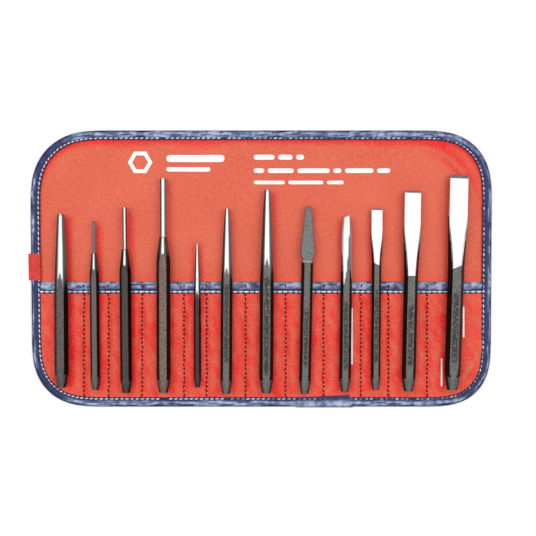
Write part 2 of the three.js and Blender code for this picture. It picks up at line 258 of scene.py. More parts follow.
# How far each point is from the side of the nearest tool's shank, less than 0 under it.
def tool_distance(x, y):
    best = np.full(np.broadcast(x, y).shape, np.inf)
    for tool in TOOL_FRAMES.values():
        across, _ = in_tool(tool, x, y)
        best = np.minimum(best, np.abs(across) - tool["flats"] / math.sqrt(3))
    return best


# 1 to the right of the nearest tool's middle line, and -1 to the left of it.
def nearest_tool_side(x, y):
    best = np.full(x.shape, np.inf)
    sign = np.zeros(x.shape)
    for tool in TOOL_FRAMES.values():
        across, _ = in_tool(tool, x, y)
        nearer = np.abs(across) < best
        best = np.where(nearer, np.abs(across), best)
        sign = np.where(nearer, np.sign(across), sign)
    return sign


def seam_distance(x):
    return np.min([np.abs(x - seam) for seam in SEAMS_X], axis=0)


BACKING_SWELL = 0.75 * MM  # the backing swells inside the edge tape
BACKING_DIP = 0.35 * MM  # and dips where it goes under the tape


# The backing's upper side: wavy above the pockets, and flat where the pockets cover it.
def backing_top(x, y):
    depth, _ = inside(x, y)
    from_tape = depth - EDGE_WIDTH
    z = BACKING_Z + 0.28 * MM * waves(x, y, 70 * MM, seed=3) + 0.12 * MM * waves(x, y, 26 * MM, seed=5)
    z += BACKING_SWELL * bump(from_tape - 9 * MM, 11 * MM) * (1 + 0.4 * waves(x, y, 50 * MM, seed=8))
    z -= BACKING_DIP * bump(from_tape, 5 * MM)
    z += 1.2 * MM * corner_creases(x, y) - 0.5 * MM * corner_creases(x, y, below=True)
    z = np.maximum(z, VINYL + 0.15 * MM)
    under_tool = bump(np.minimum(tool_distance(x, y) + 2 * MM, 8 * MM), 8 * MM)
    z -= np.maximum(z - TOOL_CLEARANCE + 0.1 * MM, 0) * under_tool
    mouth = smooth((y - POCKET_TAPE_LOW + 4 * MM) / (10 * MM))
    return BACKING_Z * (1 - mouth) + z * mouth


CREASE_CENTRE = (118 * MM, 45.5 * MM)  # of the curves that the creases follow
CREASE_RADIUS = 47.5 * MM
CREASE_PITCH = 6.5 * MM
CREASE_HEADING = math.radians(44)  # direction of the corner from the centre
CREASE_SECTOR = math.radians(50)  # the creases fade out this far to each side


# Two creases that run round the upper right corner, on curves that leave the tape at the top and come
# back towards it down the side. The result is 1 on a crest, or in a furrow where below is true.
def corner_creases(x, y, below=False):
    from_x = x - CREASE_CENTRE[0]
    from_y = y - CREASE_CENTRE[1]
    angle = np.arctan2(from_y, from_x) - CREASE_HEADING
    sector = bump(angle, CREASE_SECTOR)
    distance = np.hypot(from_x * 0.94, from_y) - CREASE_RADIUS - 3.5 * MM * angle
    if below:
        first = bump(distance + CREASE_PITCH / 2, CREASE_PITCH / 2)
        second = bump(distance - CREASE_PITCH / 2 - 1 * MM, CREASE_PITCH * 0.8)
        return sector * np.maximum(0.8 * first, second)
    return sector * bump(distance, CREASE_PITCH * 0.45)


# A swell in the last pocket that runs round the lower right corner.
def lower_crease(x, y):
    from_x = x - CREASE_CENTRE[0]
    from_y = y + CREASE_CENTRE[1]
    sector = bump(np.arctan2(-from_y, from_x) - math.radians(35), math.radians(36))
    return sector * bump(np.hypot(from_x, from_y) - 55 * MM, 3.2 * MM)


# Fullness of each pocket on the left and right of its tool: a seeded pick for each.
POCKET_FULLNESS = np.random.default_rng(21).uniform(0.25, 1.0, (SEAM_COUNT + 1, 2))
POCKET_SWELL = 1.5 * MM  # how much higher a full pocket is beside its tool


# The pockets' upper side: furrowed at the seams, swollen beside the tools and flat under them.
def pocket_top(x, y):
    x, y = np.broadcast_arrays(x, y)
    depth, _ = inside(x, y)
    pocket = np.clip(np.searchsorted(SEAMS_X, x), 0, SEAM_COUNT)
    from_seam = seam_distance(x)
    from_tape = depth - EDGE_WIDTH
    from_mouth = POCKET_TAPE_LOW - y
    full = POCKET_MOUTH_Z + (POCKET_FULL_Z - POCKET_MOUTH_Z) * smooth(from_mouth / (18 * MM))
    full = POCKET_EDGE_Z + (full - POCKET_EDGE_Z) * smooth(from_tape / (9 * MM))
    rise = smooth(from_seam / (4.6 * MM)) ** 0.8
    z = SEAM_Z + (full - SEAM_Z) * rise
    gap = tool_distance(x, y)
    side = (nearest_tool_side(x, y) > 0).astype(int)
    fullness = POCKET_FULLNESS[pocket, side]
    room = smooth((gap - 0.5 * MM) / (4 * MM))
    room = room * smooth(from_seam / (5 * MM)) * smooth(from_tape / (12 * MM))
    swell = 0.55 + 0.45 * waves(x * 0.3, y, 45 * MM, seed=12)
    z = z + POCKET_SWELL * fullness * room * swell * smooth((from_mouth + 2 * MM) / (14 * MM))
    z = z + pucker(x, y, from_seam)
    z = z + 0.1 * MM * waves(x, y, 14 * MM, seed=31) * room + 0.8 * MM * lower_crease(x, y)
    return np.where(gap < 1 * MM, np.minimum(z, TOOL_CLEARANCE), z)


# Small dimples where each stitch of a seam pulls the vinyl down.
def pucker(x, y, from_seam):
    dimples = np.cos(2 * math.pi * y / SEAM_PITCH + x / (0.8 * MM)) * bump(from_seam - 1.2 * MM, 1.8 * MM)
    creases = waves(x * 0.4, y, 13 * MM, seed=33) * bump(from_seam - 2.6 * MM, 2.6 * MM)
    return 0.13 * MM * dimples + 0.16 * MM * creases


# ---------------------------------------------------------------- meshes


def new_piece(name, vertices, faces, material):
    mesh = bpy.data.meshes.new(name)
    mesh.from_pydata([tuple(v) for v in vertices], [], [tuple(f) for f in faces])
    mesh.validate()
    mesh.polygons.foreach_set("use_smooth", [True] * len(mesh.polygons))
    mesh.set_sharp_from_angle(angle=math.radians(50))
    mesh.materials.append(material)
    piece = bpy.data.objects.new(name, mesh)
    bpy.context.scene.collection.objects.link(piece)
    return piece


# The pieces' parts put together: their vertices in one array, and their faces in one list.
def joined(parts):
    vertices, faces, count = [], [], 0
    for part_vertices, part_faces in parts:
        vertices.append(part_vertices)
        faces += [[i + count for i in face] for face in part_faces]
        count += len(part_vertices)
    return np.vstack(vertices), faces


# Many small parts of one zone as one piece, such as a line of stitches.
def add_joined(name, parts, material, zone):
    vertices, faces = joined(parts)
    piece = new_piece(name, vertices, faces, material)
    attach(piece, zone)
    return piece


# Gives every vertex a number that the piece's material reads by name.
def paint(piece, name, values):
    attribute = piece.data.attributes.new(name, "FLOAT", "POINT")
    attribute.data.foreach_set("value", np.asarray(values, float).ravel())


# A thin closed sheet from a grid of top and bottom points, made of the cells that are kept.
def grid_solid(top, bottom, keep):
    rows, columns = top.shape[:2]
    index = np.arange(rows * columns).reshape(rows, columns)
    under = index + rows * columns
    vertices = np.vstack([top.reshape(-1, 3), bottom.reshape(-1, 3)])
    faces = []
    a, b, c, d = index[:-1, :-1], index[:-1, 1:], index[1:, 1:], index[1:, :-1]
    faces.append(np.stack([a, b, c, d], axis=-1)[keep])
    a, b, c, d = under[:-1, :-1], under[:-1, 1:], under[1:, 1:], under[1:, :-1]
    faces.append(np.stack([d, c, b, a], axis=-1)[keep])
    padded = np.pad(keep, 1)
    inner = padded[1:-1, 1:-1]
    sides = [
        (inner & ~padded[:-2, 1:-1], (0, 0), (0, 1)),
        (inner & ~padded[1:-1, 2:], (0, 1), (1, 1)),
        (inner & ~padded[2:, 1:-1], (1, 1), (1, 0)),
        (inner & ~padded[1:-1, :-2], (1, 0), (0, 0)),
    ]
    for edge, (r0, c0), (r1, c1) in sides:
        r, c = np.nonzero(edge)
        first = index[r + r0, c + c0]
        second = index[r + r1, c + c1]
        faces.append(np.stack([second, first, first + rows * columns, second + rows * columns], axis=-1))
    faces = np.vstack(faces)
    used, renumbered = np.unique(faces, return_inverse=True)
    return vertices[used], renumbered.reshape(faces.shape)


GRID_STEP = 1.8 * MM


# x of the sheets' grid columns: even, with more at the seams, the fold lines and the zones' ends.
def column_positions():
    low = OUTLINE[:, 0].min()
    high = OUTLINE[:, 0].max()
    fixed = [zone["to"] for zone in ZONES[:-1]]
    around = [0, 0.5, 1.0, 1.7, 2.6]
    for seam in SEAMS_X:
        fixed += [seam + sign * offset * MM for offset in around for sign in (-1, 1)]
    for fold in FOLDS_X.values():
        fixed += list(fold + np.linspace(-FOLD_REACH, FOLD_REACH, 13))
    even = np.arange(low, high + GRID_STEP, GRID_STEP)
    fixed = np.unique(np.round(fixed, 6))
    clear = np.min(np.abs(even[:, None] - fixed[None, :]), axis=1) > 0.6 * MM
    return np.unique(np.concatenate([even[clear], fixed]))


COLUMNS = column_positions()


def zone_columns(zone):
    return COLUMNS[(COLUMNS >= zone["from"] - 1e-9) & (COLUMNS <= zone["to"] + 1e-9)]


# One zone's part of a sheet that lies between y = low and y = high.
def sheet_part(zone, height, low, high):
    ys = np.linspace(low, high, round((high - low) / GRID_STEP) + 1)
    x, y = np.meshgrid(zone_columns(zone), ys)
    depth, nearest = inside(x, y)
    out = depth < SHEET_INSET
    keep = (~out[:-1, :-1] | ~out[1:, :-1] | ~out[:-1, 1:] | ~out[1:, 1:])
    edge_x = OUTLINE[nearest, 0] - OUTWARD[nearest, 0] * SHEET_INSET
    edge_y = OUTLINE[nearest, 1] - OUTWARD[nearest, 1] * SHEET_INSET
    x = np.where(out, edge_x, x)
    y = np.where(out, edge_y, y)
    z = height(x, y)
    top = np.stack([x, y, z], axis=-1)
    bottom = np.stack([x, y, z - VINYL], axis=-1)
    return grid_solid(top, bottom, keep)


# A closed solid from a sweep: sections is stations x points x 3, each section a closed ring.
def swept(sections, closed_ends=True):
    count, size = sections.shape[:2]
    index = np.arange(count * size).reshape(count, size)
    after = np.roll(index, -1, axis=1)
    faces = np.stack([index[:-1], index[1:], after[1:], after[:-1]], axis=-1).reshape(-1, 4).tolist()
    if closed_ends:
        faces.append(index[0].tolist())
        faces.append(index[-1][::-1].tolist())
    return sections.reshape(-1, 3), faces


# ---------------------------------------------------------------- materials


class Shader:
    """A principled material with a few helpers for procedural detail."""

    def __init__(self, name, **values):
        self.material = bpy.data.materials.new(name)
        self.material.use_nodes = True
        self.tree = self.material.node_tree
        self.principled = self.tree.nodes["Principled BSDF"]
        for socket, value in values.items():
            self.principled.inputs[socket.replace("_", " ")].default_value = value
        self.place = self.tree.nodes.new("ShaderNodeTexCoord").outputs["Object"]

    def node(self, kind, **inputs):
        made = self.tree.nodes.new(kind)
        for socket, value in inputs.items():
            self.feed(made.inputs[socket.replace("_", " ")], value)
        return made

    def feed(self, socket, value):
        if isinstance(value, bpy.types.NodeSocket):
            self.tree.links.new(value, socket)
        else:
            socket.default_value = value

    def noise(self, size, detail=3, roughness=0.5, stretch=(1, 1, 1)):
        place = self.node("ShaderNodeMapping", Vector=self.place, Scale=stretch).outputs["Vector"]
        shape = dict(Scale=1 / size, Detail=detail, Roughness=roughness)
        return self.node("ShaderNodeTexNoise", Vector=place, **shape).outputs["Fac"]

    def ramp(self, factor, stops):
        made = self.tree.nodes.new("ShaderNodeValToRGB")
        self.feed(made.inputs["Fac"], factor)
        ramp = made.color_ramp
        while len(ramp.elements) < len(stops):
            ramp.elements.new(0.5)
        for element, (position, colour) in zip(ramp.elements, stops):
            element.position = position
            element.color = (*colour, 1)
        return made.outputs["Color"]

    # A colour that goes from one to the other as a noise goes through its middle values.
    def clouds(self, noise, first, second):
        return self.ramp(noise, [(0.3, first), (0.7, second)])

    def remap(self, value, low, high, to_low, to_high):
        made = self.tree.nodes.new("ShaderNodeMapRange")
        for socket, number in zip(("Value", "From Min", "From Max", "To Min", "To Max"),
                                  (value, low, high, to_low, to_high)):
            self.feed(made.inputs[socket], number)
        return made.outputs["Result"]

    def mix(self, factor, first, second):
        made = self.tree.nodes.new("ShaderNodeMix")
        made.data_type = "RGBA"
        for socket, value in zip((made.inputs[0], made.inputs[6], made.inputs[7]), (factor, first, second)):
            self.feed(socket, (*value, 1) if isinstance(value, tuple) and len(value) == 3 else value)
        return made.outputs[2]

    def attribute(self, name):
        made = self.tree.nodes.new("ShaderNodeAttribute")
        made.attribute_name = name
        return made.outputs["Fac"]

    def multiply(self, first, second):
        made = self.tree.nodes.new("ShaderNodeMath")
        made.operation = "MULTIPLY"
        self.feed(made.inputs[0], first)
        self.feed(made.inputs[1], second)
        return made.outputs["Value"]

    def bump(self, height, distance, strength=1.0, under=None):
        made = self.node("ShaderNodeBump", Height=height, Distance=distance, Strength=strength)
        if under is not None:
            self.feed(made.inputs["Normal"], under)
        return made.outputs["Normal"]

    def set(self, **values):
        for socket, value in values.items():
            self.feed(self.principled.inputs[socket.replace("_", " ")], value)
        return self.material


# The vinyl's colour holds painted light and shade: a salmon lit copy with a painted sheen, and a painted
# shaded copy in cherry red where the mesh's attribute of painted shade is 1.
def red_vinyl():
    shader = Shader("red_vinyl", Metallic=0.0, IOR=1.34)
    painted_shade = shader.attribute("painted_shade")
    cloudy = shader.noise(38 * MM, detail=3)
    speckle = shader.noise(1.2 * MM, detail=2)
    # The lit copy, with the painted sheen in it, and the copy with painted shade.
    light = shader.clouds(cloudy, (0.64, 0.108, 0.058), (0.68, 0.132, 0.074))
    shaded_red = shader.clouds(cloudy, (0.74, 0.008, 0.010), (0.80, 0.018, 0.014))
    base = shader.mix(painted_shade, light, shaded_red)
    darker = shader.mix(shader.remap(speckle, 0.36, 0.5, 0.28, 0.0), base, (0.50, 0.028, 0.022))
    colour = shader.mix(shader.remap(speckle, 0.5, 0.64, 0.0, 0.30), darker, (0.84, 0.19, 0.10))
    grain = shader.bump(shader.noise(0.7 * MM, detail=2), 0.05 * MM, 0.5)
    normal = shader.bump(shader.noise(7 * MM, detail=3), 0.30 * MM, 0.35, under=grain)
    rough = shader.remap(shader.noise(20 * MM), 0.3, 0.7, 0.36, 0.46)
    return shader.set(Base_Color=colour, Roughness=rough, Normal=normal)


# Navy tape with painted light and shade: the mesh's sheen attribute is 1 for a painted highlight in a light
# steel blue, and -1 for painted shade in the grooves, where it is nearly black.
def blue_vinyl():
    shader = Shader("blue_vinyl", Metallic=0.0, IOR=1.38, Coat_Weight=0.1, Coat_Roughness=0.14)
    sheen = shader.attribute("sheen")
    patches = shader.noise(4.5 * MM, detail=3, roughness=0.5)
    broken = shader.remap(patches, 0.38, 0.56, 0.5, 1.0)
    navy = shader.clouds(patches, (0.006, 0.010, 0.060), (0.022, 0.032, 0.125))
    # The steel blue is the painted highlight's colour; lighter paints the highlight, and darker paints the
    # shade in the grooves.
    steel = shader.clouds(patches, (0.20, 0.25, 0.42), (0.40, 0.47, 0.66))
    lighter = shader.multiply(shader.remap(sheen, 0.0, 1.0, 0.0, 1.0), broken)
    darker = shader.remap(sheen, -1.0, 0.0, 1.0, 0.0)
    colour = shader.mix(darker, shader.mix(lighter, navy, steel), (0.002, 0.003, 0.012))
    creases = shader.bump(shader.noise(2.6 * MM, detail=3, roughness=0.6), 0.35 * MM, 0.5)
    normal = shader.bump(shader.noise(0.6 * MM, detail=2), 0.04 * MM, 0.4, under=creases)
    rough = shader.remap(shader.noise(4 * MM), 0.3, 0.7, 0.2, 0.36)
    return shader.set(Base_Color=colour, Roughness=rough, Normal=normal)


def strap_vinyl():
    shader = Shader("strap_vinyl", Metallic=0.0, IOR=1.5)
    colour = shader.clouds(shader.noise(3 * MM, detail=4), (0.50, 0.016, 0.014), (0.66, 0.040, 0.028))
    normal = shader.bump(shader.noise(0.5 * MM, detail=2), 0.07 * MM, 0.5)
    rough = shader.remap(shader.noise(2 * MM), 0.3, 0.7, 0.42, 0.55)
    return shader.set(Base_Color=colour, Roughness=rough, Normal=normal)


# Thread whose colour wanders between dark and light over about the given length.
def thread(name, dark, light, size=1.3 * MM):
    shader = Shader(name, Metallic=0.0)
    colour = shader.ramp(shader.noise(size, detail=1), [(0.38, dark), (0.62, light)])
    twist = shader.node("ShaderNodeTexWave", Vector=shader.place, Scale=1 / (1.6 * MM), Distortion=1.5)
    normal = shader.bump(twist.outputs["Fac"], 0.12 * MM, 0.8)
    return shader.set(Base_Color=colour, Roughness=0.62, Normal=normal)


def ink():
    shader = Shader("print_ink", Metallic=0.0, IOR=1.45)
    colour = shader.clouds(shader.noise(2 * MM), (0.84, 0.82, 0.80), (0.95, 0.94, 0.92))
    normal = shader.bump(shader.noise(0.4 * MM), 0.03 * MM, 0.4)
    return shader.set(Base_Color=colour, Roughness=0.5, Normal=normal)


# The levels of the mesh's attribute of finish and painted light and shade.
SHADED_OXIDE = 0.0  # black oxide painted with the shade of the bar's sides
WORN_AND_LIT = 0.25  # oxide on the flats, worn by handling and painted lighter than the shaded sides
SATIN = 0.5
LIP_HIGHLIGHT = 0.65  # a painted highlight on the cape chisel's lip, between satin and polished
POLISHED = 1.0


# Steel with a finish and painted light and shade that the mesh's attribute of finish and painted light
# sets, and with shallow stamped pits where its stamp attribute is 1. Warm makes the worn oxide redder, and
# satin is how light the satin finish is.
def tool_steel(name, oxide, warm=0.0, satin=0.16):
    shader = Shader(name)
    finish_and_painted_light = shader.attribute("finish_and_painted_light")
    stamp = shader.attribute("stamp")
    past_shade = shader.remap(finish_and_painted_light, 0.05, 0.2, 0.0, 1.0)
    to_satin = shader.remap(finish_and_painted_light, 0.3, 0.45, 0.0, 1.0)
    to_bright = shader.remap(finish_and_painted_light, 0.58, 0.72, 0.0, 1.0)
    below_bright = shader.remap(to_bright, 0.0, 1.0, 1.0, 0.0)

    # The darkest oxide is painted shade on the bar's sides and the real unworn oxide in the stamped pits.
    pit_and_shade_oxide = tuple(value * 0.22 for value in oxide)
    dark = tuple(value * 0.45 for value in oxide)
    worn = (oxide[0] * (1.7 + 1.5 * warm), oxide[1] * (1.7 + 0.4 * warm), oxide[2] * 1.6)
    fleck = shader.noise(0.85 * MM, detail=4, roughness=0.7)
    mottled = shader.ramp(fleck, [(0.38, dark), (0.5, oxide), (0.66, worn)])
    oxidised = shader.mix(past_shade, pit_and_shade_oxide, mottled)

    satin_dark = (satin * 0.6, satin * 0.66, satin * 0.64)
    satin_light = (satin * 1.15, satin * 1.25, satin * 1.2)
    ground = shader.ramp(shader.noise(1.1 * MM, detail=3), [(0.35, satin_dark), (0.65, satin_light)])
    lines = shader.noise(0.5 * MM, detail=2, stretch=(1, 0.03, 1))
    bright = shader.clouds(lines, (0.82, 0.82, 0.82), (0.95, 0.95, 0.94))

    marks = shader.noise(1.0 * MM, detail=1, stretch=(1, 0.6, 1))
    sunk = shader.multiply(stamp, shader.remap(marks, 0.44, 0.5, 0.0, 1.0))
    dull = shader.mix(to_satin, oxidised, ground)
    dull = shader.mix(shader.multiply(sunk, 0.9), dull, pit_and_shade_oxide)
    colour = shader.mix(to_bright, dull, bright)

    pits = shader.bump(fleck, 0.14 * MM, 0.6)
    stamped = shader.bump(sunk, 0.3 * MM, 0.9, under=pits)
    brushed = shader.bump(lines, 0.02 * MM, 0.3)
    normal = shader.mix(to_bright, stamped, brushed)
    rough_dark = shader.remap(shader.noise(0.8 * MM, detail=3), 0.3, 0.7, 0.36, 0.52)
    rough = shader.remap(to_bright, 0.0, 1.0, rough_dark, 0.15)

    # Oxide and satin are less metallic than polished steel, so they take less colour from the room.
    oxide_metal = shader.remap(shader.multiply(past_shade, below_bright), 0.0, 1.0, 1.0, 0.5)
    satin_metal = shader.remap(shader.multiply(to_satin, below_bright), 0.0, 1.0, 1.0, 0.25)
    metal = shader.multiply(oxide_metal, satin_metal)
    return shader.set(Base_Color=colour, Metallic=metal, Roughness=rough, Normal=normal)


RED = red_vinyl()
BLUE = blue_vinyl()
STRAP = strap_vinyl()
SEAM_THREAD = thread("seam_thread", (0.012, 0.006, 0.004), (0.07, 0.03, 0.018))
SEAM_FLECK = thread("seam_fleck", (0.45, 0.30, 0.20), (0.80, 0.62, 0.48))
PALE_THREAD = thread("pale_thread", (0.52, 0.62, 0.80), (0.92, 0.95, 0.98), size=2.2 * MM)
EDGE_THREAD = thread("edge_thread", (0.10, 0.12, 0.24), (0.80, 0.82, 0.90), size=5 * MM)
INK = ink()

# ---------------------------------------------------------------- stitches

STITCH_SIDES = 7
STITCH_RINGS = np.array([-1, -0.86, -0.5, 0, 0.5, 0.86, 1])  # from one end of a stitch to the other


# A short arched strand between two points on a surface, sunk at both ends.
def stitch(start, end, radius, arch, up=(0, 0, 1)):
    start, end, up = (np.array(v, float) for v in (start, end, up))
    along = end - start
    side = np.cross(up, along)
    side /= np.linalg.norm(side)
    lift = np.cross(along, side)
    lift /= np.linalg.norm(lift)
    turns = np.arange(STITCH_SIDES) * 2 * math.pi / STITCH_SIDES
    rings = []
    for t in STITCH_RINGS:
        centre = (start + end) / 2 + along / 2 * t + lift * arch * (1 - 1.9 * abs(t) ** 2.2)
        r = radius * max(0.25, (1 - abs(t) ** 4)) ** 0.5
        rings.append(centre + r * (np.outer(np.cos(turns), side) + np.outer(np.sin(turns), lift)))
    return swept(np.array(rings))


# ---------------------------------------------------------------- the sheets

# How much painted shade each pocket has beside its tool, to the left and to the right of it.
PAINTED_SHADE_SIDES = {
    "centre_punch": (0.2, 1.0),
    "pin_punch_small": (0.0, 1.0),
    "pin_punch_medium": (0.1, 0.9),
    "pin_punch_large": (0.1, 0.5),
    "prick_punch": (0.6, 0.6),
    "taper_punch_short": (0.2, 0.3),
    "taper_punch_long": (0.1, 0.9),
    "cape_chisel": (0.1, 0.4),
    "diamond_point_chisel": (0.7, 0.3),
    "cold_chisel_small": (0.9, 0.3),
    "cold_chisel_medium": (0.5, 0.3),
    "cold_chisel_large": (0.7, 0.3),
}
PAINTED_SHADE_REACH = 7 * MM


# The strongest of the tools' bands of painted shade at each point, and 0 beyond the tools' tips.
def painted_shade_beside_tools(x, y, reach):
    band = np.zeros(x.shape)
    for name, (left, right) in PAINTED_SHADE_SIDES.items():
        tool = TOOL_FRAMES[name]
        across, along = in_tool(tool, x, y)
        amount = np.where(across > 0, right, left)
        gap = np.maximum(np.abs(across) - tool["flats"] * 0.5, 0)
        ends = smooth((tool["length"] - along) / (6 * MM)) * smooth((along + 3 * MM) / (6 * MM))
        band = np.maximum(band, amount * (1 - smooth(gap / reach)) * ends)
    return band


# Painted shade on the pockets: bands beside the tools, furrows along the seams and broad patches, painted
# streaks of light and shade across the folds, and less shade on the lower crease's crest.
def pocket_painted_shade(x, y):
    ripple = 0.75 + 0.35 * waves(x * 2.2, y, 30 * MM, seed=71)
    band = painted_shade_beside_tools(x, y, PAINTED_SHADE_REACH * (1 + 0.3 * waves(x, y, 40 * MM, seed=72))) * ripple
    hollow = 0.6 * bump(seam_distance(x), 2.0 * MM) + 0.25 * smooth(waves(x * 3, y, 55 * MM, seed=73) - 0.3)
    folds = 0.22 * waves(x * 1.6 + 0.5 * y, y, 13 * MM, seed=74)
    return np.clip(0.46 + band + hollow + folds - 0.6 * lower_crease(x, y), 0, 1)


# Painted shade on the backing: under the upper edge tape, along the side tapes, beside the tools, in the
# corner's furrows and above the pockets' mouth.
def backing_painted_shade(x, y):
    depth, _ = inside(x, y)
    from_tape = depth - EDGE_WIDTH
    upper = smooth((y - 60 * MM) / (25 * MM))
    wander = 1 + 0.35 * waves(x, y, 60 * MM, seed=75)
    under_tape = upper * (1 - smooth(from_tape / (6.5 * MM * wander)))
    sides = 0.55 * (1 - upper) * (1 - smooth(from_tape / (2.2 * MM)))
    shade = 0.8 * painted_shade_beside_tools(x, y, 0.7 * PAINTED_SHADE_REACH)
    furrows = 0.9 * corner_creases(x, y, below=True)
    over_mouth = 0.25 * (1 - smooth((y - POCKET_TAPE_TOP) / (16 * MM)))
    return np.clip(under_tape + sides + shade + furrows + over_mouth, 0, 1)


def add_sheets():
    low = OUTLINE[:, 1].min()
    high = OUTLINE[:, 1].max()
    sheets = (
        ("backing", backing_top, backing_painted_shade, low, high),
        ("pocket", pocket_top, pocket_painted_shade, low, POCKET_TAPE_TOP - 2 * VINYL),
    )
    for zone in ZONES:
        name = zone["name"]
        for kind, height, painted_shade_of, y_low, y_high in sheets:
            vertices, faces = sheet_part(zone, height, y_low, y_high)
            piece = new_piece(f"{kind}_vinyl_{name}", vertices, faces, RED)
            x, y, z = vertices.T
            upper = z > height(x, y) - VINYL / 2
            # Painted shade on each sheet's upper side only.
            paint(piece, "painted_shade", painted_shade_of(x, y) * upper)
            attach(piece, zone)
            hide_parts(f"{kind}_{name}")


# ---------------------------------------------------------------- the tape round the edge

# The tape's section from its upper inner edge, over the outside, to its lower inner edge: how far
# inside the outline, and how high.
EDGE_SECTION = np.array([
    (7.4, 1.7), (7.42, 2.02), (7.2, 2.22), (6.7, 2.26), (6.15, 2.1), (5.7, 2.26), (5.1, 2.46), (4.4, 2.62),
    (3.5, 2.73), (2.5, 2.78), (1.8, 2.72), (1.1, 2.48), (0.45, 2.08), (0.08, 1.6), (0.0, 1.2), (0.12, 0.75),
    (0.5, 0.34), (1.2, 0.1), (2.4, 0.04), (4.4, 0.04), (5.7, 0.05), (6.1, 0.16), (6.5, 0.05), (7.3, 0.1),
    (7.4, 0.3), (7.3, 0.52), (6.4, 0.55), (2.4, 0.55), (1.0, 0.8), (0.62, 1.3), (0.9, 1.8), (2.2, 2.12),
    (4.4, 2.0), (6.2, 1.66),
]) * MM
TAPE_STITCH_IN = 6.1 * MM


# A painted highlight on the tape, from 0 to 1: a band along its outer side, wide on the upper edge, narrow
# on the two sides, and faint round the left corners. Painted shade, down to -1, in the stitch groove, the
# outer rim and the inner edge.
def edge_sheen(outward, along):
    inward, height = EDGE_SECTION.T
    up = np.maximum(outward[:, 1], 0)[:, None] ** 2
    down = np.maximum(-outward[:, 1], 0)[:, None] ** 2
    corner = np.abs(outward[:, 0] * outward[:, 1])[:, None] * 2
    left = (outward[:, 0] < 0)[:, None]
    wave = waves(along[:, None], 0, 24 * MM, seed=45)
    middle = 1.5 * MM + 1.3 * MM * up + 1.2 * MM * down
    half = 0.9 * MM + 1.4 * MM * up + 0.9 * MM * down + 0.3 * MM * wave
    band = smooth(1.5 - np.abs(inward[None, :] - middle) / half)
    strength = 0.75 + 0.25 * up + 0.2 * down - np.where(left, 1.0, 0.3) * corner + 0.15 * wave
    streak = waves(along[:, None] * 0.7, inward[None, :] * 6, 12 * MM, seed=46)
    light = np.clip(band * strength * (0.85 + 0.9 * streak), 0, 1) * (height > 0.6 * MM)
    # Painted shade in the stitch groove, along the outer rim and at the inner edge.
    groove = bump(inward - TAPE_STITCH_IN + 0.1 * MM, 1.0 * MM)
    rim = smooth((2.3 * MM - height) / (0.5 * MM)) * (inward < 1 * MM)
    lip = bump(inward - 7.4 * MM, 0.5 * MM)
    return light - np.maximum(np.maximum(groove, rim), lip)[None, :]


# How much higher the tape is where it passes over the ends of the pocket tape.
def edge_lift(x, y):
    middle = (POCKET_TAPE_TOP + POCKET_TAPE_LOW) / 2
    across = bump(y - middle, POCKET_TAPE_WIDTH * 0.85)
    sides = np.abs(x) > 150 * MM
    return 0.55 * MM * across * sides


# The tape's section at each point of a run, creased, pulled in at its stitches and kept below the tools.
def edge_sections(points, outward, along):
    inward, height = EDGE_SECTION.T
    upper = smooth((height - 1.3 * MM) / (1.2 * MM))
    wave = waves(along[:, None] + 0.7 * inward[None, :], 0, 11 * MM, seed=41)
    fine = waves(along[:, None] - 0.5 * inward[None, :], 0, 4.2 * MM, seed=43)
    crown = bump(inward - 3.2 * MM, 4.6 * MM)
    z = height + upper * (0.16 * MM * wave + 0.09 * MM * fine) * (0.35 + crown)
    stitched = pulse(along, EDGE_PITCH)[:, None]
    pull = 0.16 * MM * stitched * bump(inward - TAPE_STITCH_IN, 1.5 * MM)
    z = np.minimum(z + upper * pull, TOOL_CLEARANCE) + upper * edge_lift(points[:, :1], points[:, 1:])
    reach = inward + 0.22 * MM * stitched * smooth((inward - 6.3 * MM) / (1 * MM))
    xy = points[:, None, :] - outward[:, None, :] * reach[:, :, None]
    return np.concatenate([xy, z[:, :, None]], axis=2)


# The outline's run inside a zone, cut exactly at the zone's ends. A flap's run is one piece; the
# others have an upper and a lower one.
def outline_runs(zone):
    count = len(OUTLINE)
    along = np.arange(count) * OUTLINE_STEP
    held = (OUTLINE[:, 0] > zone["from"]) & (OUTLINE[:, 0] < zone["to"])
    starts = [i for i in range(count) if held[i] and not held[i - 1]]
    runs = []
    for first in starts:
        indices = [first]
        while held[(indices[-1] + 1) % count]:
            indices.append((indices[-1] + 1) % count)
        ends = []
        for inner, step in ((indices[0], -1), (indices[-1], 1)):
            outer = (inner + step) % count
            limit = zone["from"] if OUTLINE[outer, 0] < zone["from"] else zone["to"]
            share = (limit - OUTLINE[inner, 0]) / (OUTLINE[outer, 0] - OUTLINE[inner, 0])
            ends.append((inner, outer, share))

        def with_ends(values, turn=0):
            middle = values[indices]
            if turn:
                middle = middle + turn * (np.array(indices) < indices[0])
            first_end, last_end = (
                values[i] + share * step_between(values[i], values[o], turn) for i, o, share in ends
            )
            if turn and indices[-1] < indices[0]:
                last_end = last_end + turn
            return np.concatenate([[first_end], middle, [last_end]])

        runs.append((with_ends(OUTLINE), with_ends(OUTWARD), with_ends(along, turn=count * OUTLINE_STEP)))
    return runs


def step_between(value, other, turn):
    step = other - value
    if turn and abs(step) > turn / 2:
        step = step - math.copysign(turn, step)
    return step


def add_edge_tape():
    for zone in ZONES:
        runs = outline_runs(zone)
        for points, outward, along in runs:
            side = "" if len(runs) == 1 else ("top_" if points[:, 1].mean() > 0 else "bottom_")
            vertices, faces = swept(edge_sections(points, outward, along))
            name = f"{side}{zone['name']}"
            tape = new_piece(f"edge_tape_{name}", vertices, faces, BLUE)
            paint(tape, "sheen", edge_sheen(outward, along))
            attach(tape, zone)
            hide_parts(f"edge_binding_{name}")
            add_edge_stitches(zone, name, points, outward, along)


